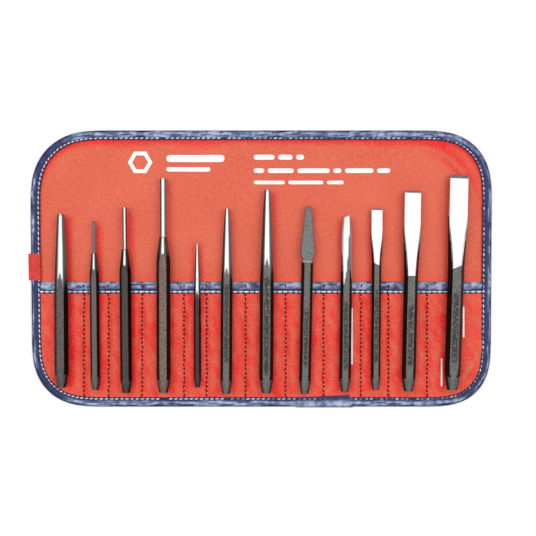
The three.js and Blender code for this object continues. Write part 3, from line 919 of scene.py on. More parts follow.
EDGE_STITCH_ENDS = (0.10, 0.82)  # where a stitch starts and ends, as shares of the pitch
EDGE_STITCHES = (  # up or down, height, radius and arch of the stitches on each face
    (1, 2.17 * MM, 0.44 * MM, 0.10 * MM),
    (-1, 0.13 * MM, 0.12 * MM, 0.0),
)


# The numbers of the stitches that lie whole within a run.
def stitch_numbers(start, end, pitch):
    return range(math.ceil(start / pitch + 0.1), math.floor(end / pitch - 0.9) + 1)


def add_edge_stitches(zone, name, points, outward, along):
    parts = []
    for number in stitch_numbers(along[0], along[-1], EDGE_PITCH):
        for up, z, radius, arch in EDGE_STITCHES:
            ends = []
            for share in EDGE_STITCH_ENDS:
                at = (number + share) * EDGE_PITCH
                place = np.array([np.interp(at, along, points[:, k]) for k in range(2)])
                normal = np.array([np.interp(at, along, outward[:, k]) for k in range(2)])
                inward = TAPE_STITCH_IN + (share - 0.5) * 0.5 * MM
                lift = float(edge_lift(place[0], place[1])) if up > 0 else 0.0
                ends.append((*(place - normal * inward), z + lift))
            parts.append(stitch(*ends, radius, arch, up=(0, 0, up)))
    material = PALE_THREAD if zone["to"] < 0 else EDGE_THREAD
    add_joined(f"edge_stitches_{name}", parts, material, zone)


# The tape's second end, lapped over its first on the lower edge. It widens towards its cut end.
LAP_FROM, LAP_TO = 28.5 * MM, 71.5 * MM
LAP_SECTION = EDGE_SECTION[:16]  # the part of the section that shows from above
LAP_CORE = np.array([2.5, 1.4]) * MM  # a point inside the section, towards which the tape has its back
LAP_THICKNESS = 0.3 * MM
LAP_LIFT = 0.42 * MM
LAP_WIDENING = 2.0 * MM


def add_tape_lap():
    lower = OUTLINE[:, 1] < 0
    held = lower & (OUTLINE[:, 0] > LAP_FROM) & (OUTLINE[:, 0] < LAP_TO)
    points, outward = OUTLINE[held], OUTWARD[held]
    order = np.argsort(points[:, 0])
    points, outward = points[order], outward[order]
    share = (points[:, 0] - LAP_FROM) / (LAP_TO - LAP_FROM)
    inward, height = LAP_SECTION.T
    outer = 1 - smooth(inward / (3 * MM))
    reach = inward[None, :] - LAP_LIFT * outer[None, :]
    reach = reach + LAP_WIDENING * share[:, None] * smooth((inward[None, :] - 3 * MM) / (4 * MM)) - 0.2 * MM
    z = height[None, :] + LAP_LIFT * smooth(inward[None, :] / (1.5 * MM))
    z = z - 0.25 * MM * share[:, None] * smooth((inward[None, :] - 5 * MM) / (2 * MM))
    z = z + 0.05 * MM * waves(points[:, :1] + inward[None, :], 0, 9 * MM, seed=47)
    cut = 0.35 * (inward[None, :] - 3.5 * MM) * np.where(share > 0.5, 1, -0.4)[:, None]
    x = points[:, :1] - outward[:, :1] * reach - cut * smooth(4 * np.abs(share - 0.5)[:, None] - 1)
    y = points[:, 1:] - outward[:, 1:] * reach
    outside = np.stack([x, y, z], axis=2)
    to_core = LAP_THICKNESS * unit(LAP_CORE - LAP_SECTION)
    back = np.stack([x - outward[:, :1] * to_core[None, :, 0],
                     y - outward[:, 1:] * to_core[None, :, 0],
                     z + to_core[None, :, 1]], axis=2)
    ring = np.concatenate([outside, back[:, ::-1]], axis=1)
    vertices, faces = swept(ring)
    lap = new_piece("edge_tape_lap", vertices, faces, BLUE)
    # A painted highlight along the lap's outer crown.
    sheen = smooth(1.4 - np.abs(LAP_SECTION[:, 0] - 2.6 * MM) / (2.1 * MM))
    paint(lap, "sheen", np.tile(np.concatenate([sheen, sheen[::-1]]), len(points)))
    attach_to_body(lap, "pouch_centre")


# ---------------------------------------------------------------- the tape along the pockets' mouth

# The section from its lower front edge, over the top, to its lower back edge: how far below the
# tape's upper edge, and how high above the pocket sheet's top.
TAPE_SECTION = np.array([
    (9.0, 0.05), (9.05, 0.3), (8.8, 0.5), (8.2, 0.52), (7.6, 0.4), (7.0, 0.52), (5.6, 0.66), (3.8, 0.68),
    (2.0, 0.62), (0.8, 0.46), (0.15, 0.15), (0.0, -0.25), (0.2, -0.62), (0.8, -0.8), (8.7, -0.8),
    (8.9, -0.72), (8.7, -0.6), (1.1, -0.58), (0.7, -0.25), (1.2, 0.03), (8.4, 0.03),
]) * MM
TAPE_STITCH_DOWN = 7.6 * MM
TAPE_STITCH_ENDS = (0.04, 0.93)
TAPE_STITCH_RADIUS = 0.72 * MM
TAPE_END_INSET = 3 * MM  # the tape's ends are this far inside the outline


# Height of the pocket sheet along the tape, sinking under the edge tape at both ends.
def tape_base(x):
    y = np.full(x.shape, POCKET_TAPE_LOW - 0.5 * MM)
    depth, _ = inside(x, y)
    z = pocket_top(x, y)
    sink = 1 - smooth((depth - EDGE_WIDTH - 1 * MM) / (4 * MM))
    return z - 0.35 * MM * sink


def add_pocket_tape():
    for zone in ZONES:
        middle = (POCKET_TAPE_LOW + POCKET_TAPE_TOP) / 2
        xs = zone_columns(zone)
        xs = np.unique(np.concatenate([xs, (xs[1:] + xs[:-1]) / 2]))
        depth, _ = inside(xs, np.full(xs.shape, middle))
        xs = xs[depth > TAPE_END_INSET]
        down, rise = TAPE_SECTION.T
        front = smooth(rise / (0.3 * MM))
        z = tape_base(xs)[:, None] + rise[None, :]
        crease = waves(xs[:, None] - 0.8 * down[None, :], 0, 9 * MM, seed=51)
        fine = waves(xs[:, None] + 0.5 * down[None, :], 0, 3.6 * MM, seed=53)
        crown = bump(down - 3.8 * MM, 4.6 * MM)
        z += front * crown * (0.10 * MM * crease + 0.06 * MM * fine)
        z = np.minimum(z, TOOL_CLEARANCE)
        scallop = 0.3 * MM * pulse(xs, TAPE_PITCH)[:, None] * smooth((down - 8 * MM) / (0.8 * MM))
        y = POCKET_TAPE_TOP - down[None, :] - scallop
        x = np.broadcast_to(xs[:, None], z.shape)
        z = np.maximum(z, backing_top(x, y) - 0.3 * VINYL)
        vertices, faces = swept(np.stack([x, np.broadcast_to(y, z.shape), z], axis=2))
        name = zone["name"]
        tape = new_piece(f"pocket_tape_{name}", vertices, faces, BLUE)
        paint(tape, "sheen", tape_sheen(xs))
        attach(tape, zone)
        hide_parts(f"pocket_binding_{name}")
        add_tape_stitches(zone, xs)


# A painted highlight along the pocket tape's upper side, navy above its stitches, and painted shade in
# grooves on either side of them.
def tape_sheen(xs):
    down, rise = TAPE_SECTION.T
    wave = waves(xs[:, None], 0, 26 * MM, seed=55)
    band = 1 - smooth((down[None, :] - 3.2 * MM - 0.8 * MM * wave) / (3.4 * MM))
    streak = waves(xs[:, None], down[None, :] * 4, 10 * MM, seed=56)
    light = np.clip(band * (0.9 + 0.15 * wave + 0.9 * streak), 0, 1) * (rise > -0.1 * MM)
    # Painted shade in the grooves above and below the stitches.
    grooves = np.maximum(bump(down - 6.6 * MM, 0.9 * MM), bump(down - 9 * MM, 0.7 * MM))
    return light - 0.9 * grooves[None, :]


def add_tape_stitches(zone, xs):
    parts = []
    for number in stitch_numbers(xs[0], xs[-1], TAPE_PITCH):
        ends = []
        for share in TAPE_STITCH_ENDS:
            x = (number + share) * TAPE_PITCH
            z = float(tape_base(np.array([x]))[0]) + 0.42 * MM
            ends.append((x, POCKET_TAPE_TOP - TAPE_STITCH_DOWN, min(z, TOOL_CLEARANCE - 0.4 * MM)))
        parts.append(stitch(*ends, TAPE_STITCH_RADIUS, 0.1 * MM))
    add_joined(f"tape_stitches_{zone['name']}", parts, PALE_THREAD, zone)


# ---------------------------------------------------------------- the seams between the pockets


# Height of what a seam is sewn on: the pocket tape at the mouth, and the pocket sheet below it.
def seam_surface(x, y):
    if y > POCKET_TAPE_LOW:
        return float(tape_base(np.array([x]))[0]) + 0.5 * MM
    return float(pocket_top(np.array([x]), np.array([y]))[0])


SEAM_STITCH_RADIUS = 0.64 * MM
SEAM_FLECK_RADIUS = 0.28 * MM  # of the pale thread that shows between the dark stitches
SEAM_WANDER = 0.22 * MM  # spread of the stitches' places and leans, to either side


def add_seams():
    bottom = OUTLINE[:, 1].min() + EDGE_WIDTH
    random = np.random.default_rng(7)
    for index, seam in enumerate(SEAMS_X):
        dark, pale = [], []
        count = math.floor((POCKET_TAPE_TOP - 0.6 * MM - bottom) / SEAM_PITCH)
        for number in range(count):
            low = bottom + number * SEAM_PITCH
            x = seam + SEAM_WANDER * random.standard_normal()
            lean = SEAM_WANDER * random.standard_normal()
            points = []
            for share, shift in ((0.08, -lean), (0.84, lean)):
                y = low + share * SEAM_PITCH
                points.append((x + shift, y, seam_surface(seam, y) + 0.06 * MM))
            dark.append(stitch(*points, SEAM_STITCH_RADIUS, 0.1 * MM))
            y = low + 0.95 * SEAM_PITCH
            z = seam_surface(seam, y) + 0.05 * MM
            side = random.choice((-1, 1))
            start = (x + side * 0.25 * MM, y - 0.35 * MM, z)
            end = (x + side * 0.75 * MM, y + 0.35 * MM, z)
            pale.append(stitch(start, end, SEAM_FLECK_RADIUS, 0.14 * MM))
        zone = zone_at(seam)
        piece = add_joined(f"seam_stitches_{index + 1}", dark, SEAM_THREAD, zone)
        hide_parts(f"pocket_seam_{index + 1}")
        add_joined(f"seam_loops_{index + 1}", pale, SEAM_FLECK, zone)


# ---------------------------------------------------------------- the printed marks

# Plain shapes stand in for the printing. The ink is a thin layer that follows the vinyl under it.
INK_THICKNESS = 0.06 * MM
INK_CELL = 0.7 * MM


# A layer of ink on a surface, over a grid of points.
def ink_layer(x, y, surface):
    base = surface(x, y)
    top = np.stack([x, y, base + INK_THICKNESS], axis=-1)
    bottom = np.stack([x, y, base - INK_THICKNESS], axis=-1)
    rows, columns = x.shape
    return grid_solid(top, bottom, np.ones((rows - 1, columns - 1), bool))


# A printed bar with round ends: its centre, its length along X or Y, and its height.
def printed_bar(x, y, length, height, surface, upright=False):
    steps = max(2, math.ceil(length / INK_CELL))
    rows = max(2, math.ceil(height / INK_CELL))
    along = np.linspace(-length / 2, length / 2, steps + 1)
    across = np.linspace(-1, 1, rows + 1)
    a, b = np.meshgrid(along, across)
    end = np.clip((np.abs(a) - (length - height) / 2) / (height / 2), 0, 1)
    b = b * height / 2 * np.sqrt(np.maximum(1 - end ** 2 * 0.8, 0))
    px, py = (x - b, y + a) if upright else (x + a, y + b)
    return ink_layer(px, py, surface)


# A hexagonal ring, like the end of a bar, as a grid of points from its outer edge to its inner one.
def printed_hexagon(x, y, outer, inner, surface):
    sides, steps, rows = 6, 5, 3
    corners = np.arange(sides + 1) * 2 * math.pi / sides
    ring = np.column_stack([np.cos(corners), np.sin(corners)])
    shares = (np.arange(steps) / steps)[:, None]
    edge = np.vstack([a + (b - a) * shares for a, b in zip(ring[:-1], ring[1:])])
    edge = np.vstack([edge, edge[:1]])[::-1]
    radii = np.linspace(outer, inner, rows + 1)
    px = x + edge[None, :, 0] * radii[:, None]
    py = y + edge[None, :, 1] * radii[:, None]
    return ink_layer(px, py, surface)


# The printed lines above the tools, in millimetres: left end, middle height, height and lengths of bars.
PRINT_LINES = [
    (-73, 85.6, 5.4, (45,)),
    (-73, 77.2, 3.4, (34,)),
    (-5, 86.6, 3.8, (16, 11, 6)),
    (-5, 76.2, 3.6, (8, 20, 25, 6, 22, 10)),
    (-5, 67, 2.8, (24, 27, 13)),
]
PRINT_GAP = 3  # millimetres between two bars of a line
HEXAGON = (-93.5 * MM, 82.6 * MM, 9.6 * MM, 6.2 * MM)  # x, y, outer and inner radius

# Short upright bars beside some pockets' tools: x, y of the middle, and length, in millimetres.
SIZE_MARKS = [(71.3, -52.6, 44), (158, -41.7, 24), (140.9, -80.7, 22)]
SIZE_MARK_WIDTH = 1.3 * MM


def add_prints():
    parts = {zone["name"]: [] for zone in ZONES}
    for x, y, height, lengths in PRINT_LINES:
        for length in lengths:
            for zone in ZONES:
                low = max(x * MM, zone["from"])
                high = min((x + length) * MM, zone["to"])
                if high - low > 1 * MM:
                    bar = printed_bar((low + high) / 2, y * MM, high - low, height * MM, backing_top)
                    parts[zone["name"]].append(bar)
            x += length + PRINT_GAP
    parts[zone_at(HEXAGON[0])["name"]].append(printed_hexagon(*HEXAGON, backing_top))
    for x, y, length in SIZE_MARKS:
        bar = printed_bar(x * MM, y * MM, length * MM, SIZE_MARK_WIDTH, pocket_top, upright=True)
        parts[zone_at(x * MM)["name"]].append(bar)
    for zone in ZONES:
        if parts[zone["name"]]:
            add_joined(f"print_{zone['name']}", parts[zone["name"]], INK, zone)


# ---------------------------------------------------------------- the strap

STRAP_SKEW = math.radians(1.6)
STRAP_TAB = 9.4 * MM  # length of the sewn end on top of the edge tape


# The strap's path in the XZ plane, from its sewn end over the edge to its free end underneath.
def strap_path():
    low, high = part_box("tie_strap")
    tab_end = low.x + STRAP_TAB
    top = high.z - VINYL / 2
    bottom = low.z + VINYL / 2
    wall = low.x + VINYL / 2
    radius = (top - bottom) / 2
    turns = np.linspace(math.pi / 2, 3 * math.pi / 2, 11)
    x, z = wall + radius, (top + bottom) / 2
    bend = [(x + radius * math.cos(turn), z + radius * math.sin(turn)) for turn in turns]
    over = [(x, top - 0.12 * MM * smooth((x - tab_end + 3 * MM) / (3 * MM)))
            for x in np.linspace(tab_end, wall + radius, 8)[:-1]]
    under = [(x, bottom) for x in np.linspace(wall + radius, high.x, 30)[1:]]
    return np.array(over + bend + under)


# The strap's path swept across its width, a little puffed and with its sewn end askew.
def add_strap():
    path = strap_path()
    low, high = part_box("tie_strap")
    along = unit(np.gradient(path, axis=0))
    outside = np.column_stack([along[:, 1], -along[:, 0]])
    ys = np.linspace(low.y, high.y, 24)
    rows = []
    middle = (low.y + high.y) / 2
    for y in ys:
        puff = 0.1 * MM * waves(path[:, 0], y, 8 * MM, seed=61)
        edge = 0.12 * MM * (1 - smooth(min(y - low.y, high.y - y) / (1 * MM)))
        rise = puff * (path[:, 1] > 1.5 * MM) - edge
        points = path + np.column_stack([np.zeros(len(path)), rise * (path[:, 1] > 1.5 * MM)])
        upper = path[:, 1] > 1.0 * MM
        x = points[:, 0] + np.where(upper, math.tan(STRAP_SKEW) * (middle - y), 0)
        x = np.maximum(x, low.x + VINYL / 2)
        rows.append(np.column_stack([x, np.full(len(path), y), points[:, 1]]))
    rows = np.array(rows)
    shift = np.column_stack([outside[:, 0], np.zeros(len(path)), outside[:, 1]]) * VINYL / 2
    outer = rows + shift
    inner = rows - shift
    keep = np.ones((len(ys) - 1, len(path) - 1), bool)
    vertices, faces = grid_solid(inner, outer, keep)
    piece = new_piece("strap_vinyl_piece", vertices, faces, STRAP)
    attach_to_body(piece, "pouch_left_flap")
    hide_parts("tie_strap")


# ---------------------------------------------------------------- the tools

SHARPNESS = 34  # how crisp the bars' edges are: the power of the mean that rounds them
FACE_SHARES = np.array([0, 0.03, 0.09, 0.22, 0.4, 0.6, 0.78, 0.91, 0.97])


# The shape of a hexagonal bar's section, as the half sizes of an eight-cornered one: its width, the
# width of its upper and lower face, its thickness, and the height of its two sides.
def bar_section(flats):
    corner = flats / math.sqrt(3)
    return {"width": corner, "face": corner / 2, "thick": flats / 2, "side": 0.02 * flats}


# A section's ring of points in the XZ plane, with its corners rounded and its radius limited.
def section_ring(section, limit, planes=()):
    w, f, t, s = (section[key] for key in ("width", "face", "thick", "side"))
    quarter = np.array([(f, t), (w, s), (w, -s), (f, -t)])
    corners = np.vstack([quarter, -quarter])
    after = np.roll(corners, -1, axis=0)
    points = np.vstack([a + (b - a) * FACE_SHARES[:, None] for a, b in zip(corners, after)])
    direction = unit(points)
    edge = after - corners
    normals = unit(np.column_stack([-edge[:, 1], edge[:, 0]]))
    distances = (normals * corners).sum(axis=1)
    flip = np.sign(distances)
    normals, distances = normals * flip[:, None], distances * flip
    for normal, distance in planes:
        normals = np.vstack([normals, normal])
        distances = np.append(distances, distance)
    share = np.maximum(direction @ normals.T, 0) / distances
    scale = 1 / limit
    powers = (share / scale) ** SHARPNESS
    total = powers.sum(axis=1) + 1
    reach = 1 / (scale * total ** (1 / SHARPNESS))
    return direction * reach[:, None], 1 / total


# Rings along a tool from its struck end: each ring's distance along, its points and its finish with painted
# light and shade.
def loft(rings):
    sections = []
    finish_and_painted_light = []
    for y, (points, shine) in rings:
        y = np.broadcast_to(y, len(points))
        sections.append(np.column_stack([points[:, 0], y, points[:, 1]]))
        finish_and_painted_light.append(np.broadcast_to(shine, len(points)))
    return np.array(sections), np.array(finish_and_painted_light)


CROWN_END = 0.36  # radius of the struck end, as a share of the bar's width across flats
CROWN_SLOPE = 0.18
CROWN_EDGE = 0.5 * MM  # radius of the rounded edge at the struck end
CROWN_STRETCH = (0, 14 * MM, 0.7 * MM)  # the crown takes closer rings: from, to and step


# The limit that the ground crown sets on the bar's radius, at a distance from the struck end.
def crown_limit(flats, y):
    end = flats * CROWN_END
    rounded = end - CROWN_EDGE + math.sqrt(max(CROWN_EDGE ** 2 - (CROWN_EDGE - min(y, CROWN_EDGE)) ** 2, 0))
    return rounded + max(y - CROWN_EDGE, 0) * CROWN_SLOPE


# Distances along a tool: even, closer at both ends, and closer in the given stretches.
def stations(length, dense):
    even = np.arange(0, length, 1.5 * MM)
    fine = [np.arange(low, high, step) for low, high, step in (CROWN_STRETCH, *dense)]
    ends = [length, *np.geomspace(0.03 * MM, 1.2 * MM, 8), *(length - np.geomspace(0.02 * MM, 1.2 * MM, 9))]
    together = np.unique(np.round(np.concatenate([even, *fine, ends]), 7))
    return together[(together >= 0) & (together <= length)]


# Painted light and shade across a round ground surface: a painted highlight along its middle, and painted
# shade as given at its two sides.
def painted_round_shading(points, left, right, bright):
    across = points[:, 0] / np.abs(points[:, 0]).max()
    side = np.where(across < 0, left, right)
    return POLISHED + (side - POLISHED) * smooth((np.abs(across) - bright) / 0.3)


RUN_OUT = 1.12  # a ground surface ends where its radius is this many times the bar's corner

# How dark the painted shade of a cone and a pin's neck is at their left and right, and how far out their
# painted highlight along the middle reaches.
CONE_SHADE = (0.12, 0.4, 0.28)
NECK_SHADE = (0.1, 0.15, 0.1)


# A round cone ground on the bar, with a short point.
def taper_rings(tool, spec):
    flats, length = tool["flats"], tool["length"]
    tip, face, point, end = (spec[key] * MM for key in ("tip", "face_start", "point", "end"))
    corner = flats / math.sqrt(3)
    slope = (flats / 2 - tip) / (face - point)
    run_out = point + (corner * RUN_OUT - tip) / slope
    rings = []
    for y in stations(length, [(length - run_out, length - face + 2 * MM, 0.5 * MM)]):
        back = length - y
        cone = tip + (back - point) * slope if back > point else end + (tip - end) * back / point
        belly = 0.25 * MM * math.sin(math.pi * np.clip(back / face, 0, 1))
        limit = min(crown_limit(flats, y), cone + belly)
        points, weight = section_ring(bar_section(flats), max(limit, 0.05 * MM))
        # A painted highlight along the cone's middle and painted shade down its sides.
        ground = weight * (back < run_out + 2 * MM) * painted_round_shading(points, *CONE_SHADE)
        rings.append((y, (points, ground)))
    return rings


PIN_FILLET = 0.45 * MM
PIN_CHAMFER = 0.25 * MM


# A straight pin, chamfered at its tip, with a conical neck between it and the bar.
def pin_rings(tool, spec):
    flats, length = tool["flats"], tool["length"]
    keys = ("pin", "pin_length", "neck", "neck_length")
    pin, pin_length, neck, neck_length = (spec[key] * MM for key in keys)
    corner = flats / math.sqrt(3)
    slope = (flats / 2 - neck) / neck_length
    run_out = pin_length + (corner * RUN_OUT - neck) / slope
    rings = []
    step = length - pin_length
    dense = [(length - run_out, step - 1 * MM, 0.4 * MM), (step - 1 * MM, step + 1 * MM, 0.1 * MM)]
    for y in stations(length, dense):
        back = length - y
        cone = neck + (back - pin_length) * slope
        blend = float(smooth((back - pin_length + PIN_FILLET) / (2 * PIN_FILLET)))
        radius = pin * (1 - blend) + max(cone, pin) * blend
        if back < PIN_CHAMFER:
            radius = min(radius, pin - PIN_CHAMFER + back)
        points, weight = section_ring(bar_section(flats), min(crown_limit(flats, y), radius))
        # A painted highlight along the pin's and the neck's middle and painted shade down their sides.
        shine = painted_round_shading(points, *(spec["shade"] if back < pin_length else NECK_SHADE))
        rings.append((y, (points, weight * shine * (back < run_out + 2 * MM))))
    return rings


# A section that is a share of the way from one to another.
def between(low, high, share):
    return {key: low[key] + (high[key] - low[key]) * share for key in low}


# A flat blade that flares from the bar to its full width, with a bevelled edge.
def chisel_rings(tool, spec):
    flats, length = tool["flats"], tool["length"]
    keys = ("blade", "face_start", "straight", "edge", "bevel", "polish")
    blade, face, straight, edge, bevel, polish = (spec[key] * MM for key in keys)
    bar = bar_section(flats)
    start, shoulder, heel = length - face, length - straight, length - bevel
    rings = []
    dense = [(length - polish - 5 * MM, length - polish + 5 * MM, 0.4 * MM)]
    for y in stations(length, dense):
        thin = np.clip((y - start) / (heel - start), 0, 1)
        thick = flats / 2 + (edge / 2 - flats / 2) * thin
        if y > heel:
            thick = edge / 2 * (1 - 0.94 * (y - heel) / bevel)
        flare = np.clip((y - start) / (shoulder - start), 0, 1)
        ease = float(smooth(flare)) * 0.6 + 0.4 * flare
        width = bar["width"] + (blade / 2 - bar["width"]) * ease
        facing = bar["face"] + (blade / 2 - 0.3 * MM - bar["face"]) * flare ** 1.4
        side = bar["side"] + (max(thick - 0.3 * MM, 0.03 * MM) - bar["side"]) * ease
        section = {
            "width": width,
            "face": min(facing, width - 0.05 * MM),
            "thick": max(thick, 0.08 * MM),
            "side": max(side, 0.02 * MM),
        }
        points, _ = section_ring(section, crown_limit(flats, y))
        line = length - polish + spec["slant"] * points[:, 0]
        faceward = np.abs(points[:, 1]) > 0.8 * section["thick"]
        shine = POLISHED * smooth((y - line) / (0.8 * MM) + 0.5) * (faceward | (y > shoulder))
        if y > heel:
            shine = np.full(len(points), SATIN)
        rings.append((y, (points, shine)))
    return rings


# A head wider than its neck, tapering to a narrow edge, with a painted highlight on the lip where the neck
# meets the bar.
def cape_rings(tool, spec):
    flats, length = tool["flats"], tool["length"]
    head, width, tip, shoulder = (spec[key] * MM for key in ("head", "width", "tip", "shoulder"))
    bar = bar_section(flats)
    neck = length - head
    wide = {"width": width / 2, "face": width / 2 - 0.5 * MM, "thick": flats * 0.46, "side": flats * 0.4}
    slim = {"width": width * 0.37, "face": width * 0.33, "thick": flats * 0.47, "side": flats * 0.38}
    end = {"width": tip / 2 + 0.3 * MM, "face": tip / 2, "thick": 1.5 * MM, "side": 1.2 * MM}
    edge = {"width": tip / 2 - 0.3 * MM, "face": tip / 2 - 0.5 * MM, "thick": 0.25 * MM, "side": 0.12 * MM}
    keys = [(0, bar), (neck - 0.6 * MM, bar), (neck + 0.9 * MM, slim), (neck + 3.4 * MM, slim),
            (neck + shoulder, wide), (length - 2.4 * MM, end), (length, edge)]
    rings = []
    for y in stations(length, [(neck - 3 * MM, neck + 14 * MM, 0.4 * MM)]):
        index = max(i for i, (at, _) in enumerate(keys[:-1]) if at <= y)
        (low_y, low), (high_y, high) = keys[index], keys[index + 1]
        share = (y - low_y) / (high_y - low_y)
        if index == 3:
            share = float(smooth(share))
        section = between(low, high, share)
        points, _ = section_ring(section, crown_limit(flats, y))
        # A thin painted highlight on the lip.
        lip = neck + 0.7 * MM < y < neck + 1.3 * MM
        shine = LIP_HIGHLIGHT if lip else (SATIN if y > neck + 0.4 * MM else SHADED_OXIDE)
        # Painted shade: the head's sides fall to the level of the shaded oxide.
        shine = shine * smooth((np.abs(points[:, 1]) / section["thick"] - 0.75) / 0.2)
        rings.append((y, (points, shine)))
    return rings


HEAD_WIDENING = 0.14  # how much wider than the bar a forged head is, as a share of it
CUT_ZONE = 9 * MM  # the slanting cut fades out this far behind the tip


# Four flat sides turned about the bar's axis, cut off at a slant.
def diamond_rings(tool, spec):
    flats, length = tool["flats"], tool["length"]
    ground_back, ground_half = np.array(spec["grind"]).T * MM
    face, tip = ground_back[-1], 2 * ground_half[0]
    turn, slant = math.radians(spec["turn"]), math.radians(spec["slant"])
    slope = (ground_half[-1] - ground_half[-2]) / (ground_back[-1] - ground_back[-2])
    normals = [(math.cos(turn + k * math.pi / 2), math.sin(turn + k * math.pi / 2)) for k in range(4)]
    rings = []
    for y in stations(length, [(length - face - 6 * MM, length, 0.5 * MM)]):
        back = length - y
        distance = np.interp(back, ground_back, ground_half) + max(back - face, 0) * slope
        planes = [(normal, distance) for normal in normals]
        section = bar_section(flats)
        widened = 1 + HEAD_WIDENING * float(smooth((45 * MM - back) / (18 * MM)))
        section["width"] *= widened
        section["face"] *= widened
        points, _ = section_ring(section, crown_limit(flats, y), planes)
        reach = np.array([points @ normal / distance for normal in normals])
        ground = smooth((reach.max(axis=0) - 0.965) / 0.03) * (back < face + 4 * MM)
        # Painted light and shade on the ground faces: the upper face is painted polished white as the lit
        # one, and the other faces satin as shaded ones.
        face_up = reach[1] >= np.maximum(reach[0], np.maximum(reach[2], reach[3])) - 0.01
        shine = ground * np.where(face_up, POLISHED, SATIN)
        lean = points @ np.array([math.cos(turn + math.pi / 4), math.sin(turn + math.pi / 4)])
        drop = float(smooth(1 - back / CUT_ZONE)) * math.tan(slant) * (tip / math.sqrt(2) - lean)
        rings.append((y - drop, (points, shine)))
    return rings


# Each tool's working end, with its sizes in millimetres, measured back from the tip. A pin's shade is its
# painted shade at its left and right, and how far out its painted highlight along the middle reaches. A
# slant is a slope, or degrees for the diamond point, whose grind is how far its sides are from the axis at
# distances from the tip.
TOOLS = {
    "centre_punch": dict(make=taper_rings, tip=2.5, face_start=47.9, point=1.2, end=1.3),
    "pin_punch_small": dict(make=pin_rings, pin=1.19, pin_length=24.9, neck=1.9, neck_length=13,
                            shade=(0.5, 0.45, -0.3)),
    "pin_punch_medium": dict(make=pin_rings, pin=1.59, pin_length=32.6, neck=2.3, neck_length=12.7,
                             shade=(0.1, 0.3, 0.25)),
    "pin_punch_large": dict(make=pin_rings, pin=2.38, pin_length=45.4, neck=2.95, neck_length=13.3,
                            shade=(0.15, 0.5, 0.3)),
    "prick_punch": dict(make=taper_rings, tip=0.75, face_start=39, point=1.2, end=0.1),
    "taper_punch_short": dict(make=taper_rings, tip=1.59, face_start=47.3, point=0.2, end=1.4),
    "taper_punch_long": dict(make=taper_rings, tip=2.2, face_start=55.4, point=0.25, end=1.95),
    "cape_chisel": dict(make=cape_rings, head=44, shoulder=7.5, width=11, tip=3.9),
    "diamond_point_chisel": dict(make=diamond_rings, turn=19, slant=30,
                                 grind=((0, 2.4), (15, 3.25), (40, 3.7), (55, 4.5))),
    "cold_chisel_small": dict(make=chisel_rings, blade=8.9, face_start=43.5, straight=18.5, edge=1.8,
                              bevel=1.2, polish=43, slant=-0.5),
    "cold_chisel_medium": dict(make=chisel_rings, blade=13, face_start=65, straight=26.6, edge=2.2,
                               bevel=1.5, polish=65.5, slant=0.0),
    "cold_chisel_large": dict(make=chisel_rings, blade=14.5, face_start=70.6, straight=32, edge=3.2,
                              bevel=2.4, polish=71, slant=0.45),
}

# The oxide's colour, and what is different about some tools' steel.
OXIDE = (0.135, 0.138, 0.130)
STEELS = {
    "centre_punch": dict(oxide=(0.100, 0.088, 0.086)),
    "pin_punch_small": dict(oxide=(0.120, 0.110, 0.104)),
    "pin_punch_medium": dict(oxide=(0.060, 0.050, 0.048)),
    "pin_punch_large": dict(oxide=(0.160, 0.120, 0.105), warm=0.3),
    "prick_punch": dict(oxide=(0.045, 0.036, 0.036)),
    "diamond_point_chisel": dict(satin=0.42),
}

# Where the upper flat is stamped, as shares of each tool's length.
STAMPS = {
    "taper_punch_short": (0.16, 0.60),
    "taper_punch_long": (0.08, 0.58),
    "cape_chisel": (0.14, 0.46),
    "diamond_point_chisel": (0.12, 0.52),
    "cold_chisel_small": (0.14, 0.56),
    "cold_chisel_medium": (0.12, 0.44),
    "cold_chisel_large": (0.12, 0.46),
}


# 1 on the bar's upper and lower flats and on its crown, 0 on its four sides.
def on_flats(vertices, tool):
    flat = smooth((np.abs(vertices[:, 2]) / (tool["flats"] / 2) - 0.94) / 0.04)
    crown = (vertices[:, 1] < 10 * MM) & (np.abs(vertices[:, 2]) > 0.3 * tool["flats"])
    return np.maximum(flat, 0.8 * crown)


# 1 along the middle of the tool's upper flat within the stamped stretch, and 0 elsewhere.
def stamped(vertices, tool, stretch):
    if stretch is None:
        return np.zeros(len(vertices))
    share = vertices[:, 1] / tool["length"]
    within = smooth((share - stretch[0]) / 0.02) * smooth((stretch[1] - share) / 0.02)
    middle = 1 - smooth((np.abs(vertices[:, 0]) - 0.14 * tool["flats"]) / (0.08 * tool["flats"]))
    upper = vertices[:, 2] > 0.4 * tool["flats"]
    return within * middle * upper


def add_tools():
    for name, spec in TOOLS.items():
        tool = TOOL_FRAMES[name]
        sections, finish_and_painted_light = loft(spec["make"](tool, spec))
        count, size = sections.shape[:2]
        vertices, faces = swept(sections, closed_ends=False)
        centres = [sections[0].mean(axis=0), sections[-1].mean(axis=0)]
        vertices = np.vstack([vertices, centres])
        for i in range(size):
            j = (i + 1) % size
            faces.append([j, i, count * size])
            faces.append([(count - 1) * size + i, (count - 1) * size + j, count * size + 1])
        placed = tool["origin"] + vertices @ np.array([tool["across"], tool["direction"], (0, 0, 1)])
        faces = [face[::-1] for face in faces]
        material = tool_steel(f"steel_{name}", **{"oxide": OXIDE, **STEELS.get(name, {})})
        piece = new_piece(f"{name}_steel", placed, faces, material)
        finish_and_painted_light = np.append(finish_and_painted_light.ravel(), [finish_and_painted_light[0].mean(), finish_and_painted_light[-1].mean()])
        # The flats and crown are painted lighter than the bar's four sides, which keep the painted shade.
        paint(piece, "finish_and_painted_light", np.maximum(finish_and_painted_light, WORN_AND_LIT * on_flats(vertices, tool)))
        paint(piece, "stamp", stamped(vertices, tool, STAMPS.get(name)))
        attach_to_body(piece, f"{name}_body")
        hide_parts(name)


# ---------------------------------------------------------------- floor, light and camera

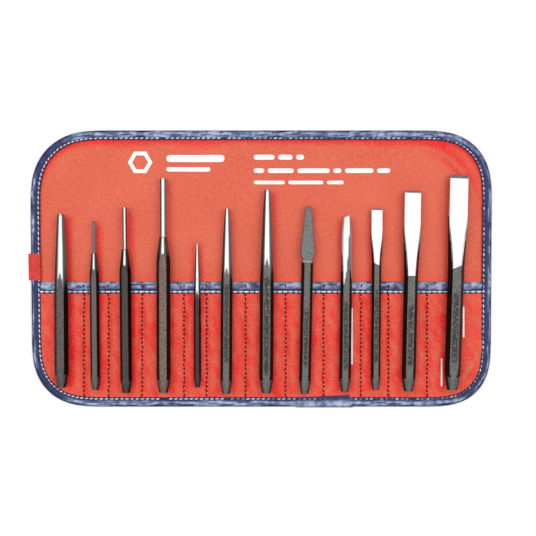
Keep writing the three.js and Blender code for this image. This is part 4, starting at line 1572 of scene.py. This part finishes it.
CAMERA_HEIGHT = 780 * MM
VIEW_CENTRE = (6.0 * MM, 0.4 * MM)
VIEW_WIDTH = 418 * MM  # width of the ground that the picture shows
SENSOR = 36  # millimetres

CANOPY = 1.18  # brightness overhead
CANOPY_START = math.radians(30)  # the canopy is full out to here, from straight up
CANOPY_END = math.radians(50)  # and gone here
ROOM = 0.35  # brightness of the room round it
SIDE_LIGHT_PLACE = (0.5, 0.1, 0.9)  # of the right one; the left one mirrors it
SIDE_LIGHT_SIZE = (0.4, 0.7)
SIDE_LIGHT_ENERGY = 3.3
FLOOR_SIZE = 6


def add_stage():
    bpy.ops.mesh.primitive_plane_add(size=FLOOR_SIZE, location=(0, 0, -0.02 * MM))
    floor = bpy.context.object
    floor.name = "floor"
    shader = Shader("paper", Roughness=0.9)
    tint = shader.clouds(shader.noise(0.3), (0.915, 0.915, 0.915), (0.93, 0.93, 0.93))
    floor.data.materials.append(shader.set(Base_Color=tint))


# A panel that lights the cloth from one side, but doesn't show in the polished steel.
def add_side_light(name, location):
    data = bpy.data.lights.new(name, "AREA")
    data.shape = "RECTANGLE"
    data.size, data.size_y = SIDE_LIGHT_SIZE
    data.energy = SIDE_LIGHT_ENERGY
    light = bpy.data.objects.new(name, data)
    light.location = location
    light.rotation_euler = (-Vector(location)).to_track_quat("-Z", "Y").to_euler()
    light.visible_glossy = False
    bpy.context.scene.collection.objects.link(light)


# A white canopy overhead that fades into a dark room towards the horizon.
def add_world():
    world = bpy.data.worlds.new("studio")
    world.use_nodes = True
    nodes, links = world.node_tree.nodes, world.node_tree.links
    direction = nodes.new("ShaderNodeTexCoord").outputs["Generated"]
    split = nodes.new("ShaderNodeSeparateXYZ")
    links.new(direction, split.inputs["Vector"])
    fade = nodes.new("ShaderNodeMapRange")
    fade.interpolation_type = "SMOOTHSTEP"
    links.new(split.outputs["Z"], fade.inputs["Value"])
    fade.inputs["From Min"].default_value = math.cos(CANOPY_END)
    fade.inputs["From Max"].default_value = math.cos(CANOPY_START)
    fade.inputs["To Min"].default_value = ROOM
    fade.inputs["To Max"].default_value = CANOPY
    nodes["Background"].inputs["Color"].default_value = (1, 1, 1, 1)
    links.new(fade.outputs["Result"], nodes["Background"].inputs["Strength"])
    bpy.context.scene.world = world


def add_view():
    x, y, z = SIDE_LIGHT_PLACE
    for side in (-1, 1):
        add_side_light(f"side_light_{side}", (x * side, y, z))
    add_world()
    scene = bpy.context.scene
    scene.view_settings.view_transform = "Standard"
    data = bpy.data.cameras.new("camera")
    data.sensor_width = SENSOR
    data.lens = SENSOR * CAMERA_HEIGHT / VIEW_WIDTH
    camera = bpy.data.objects.new("camera", data)
    camera.location = (*VIEW_CENTRE, CAMERA_HEIGHT)
    scene.collection.objects.link(camera)
    scene.camera = camera


add_stage()
add_view()
add_sheets()
add_edge_tape()
add_tape_lap()
add_pocket_tape()
add_seams()
add_prints()
add_strap()
add_tools()

bpy.context.view_layer.update()
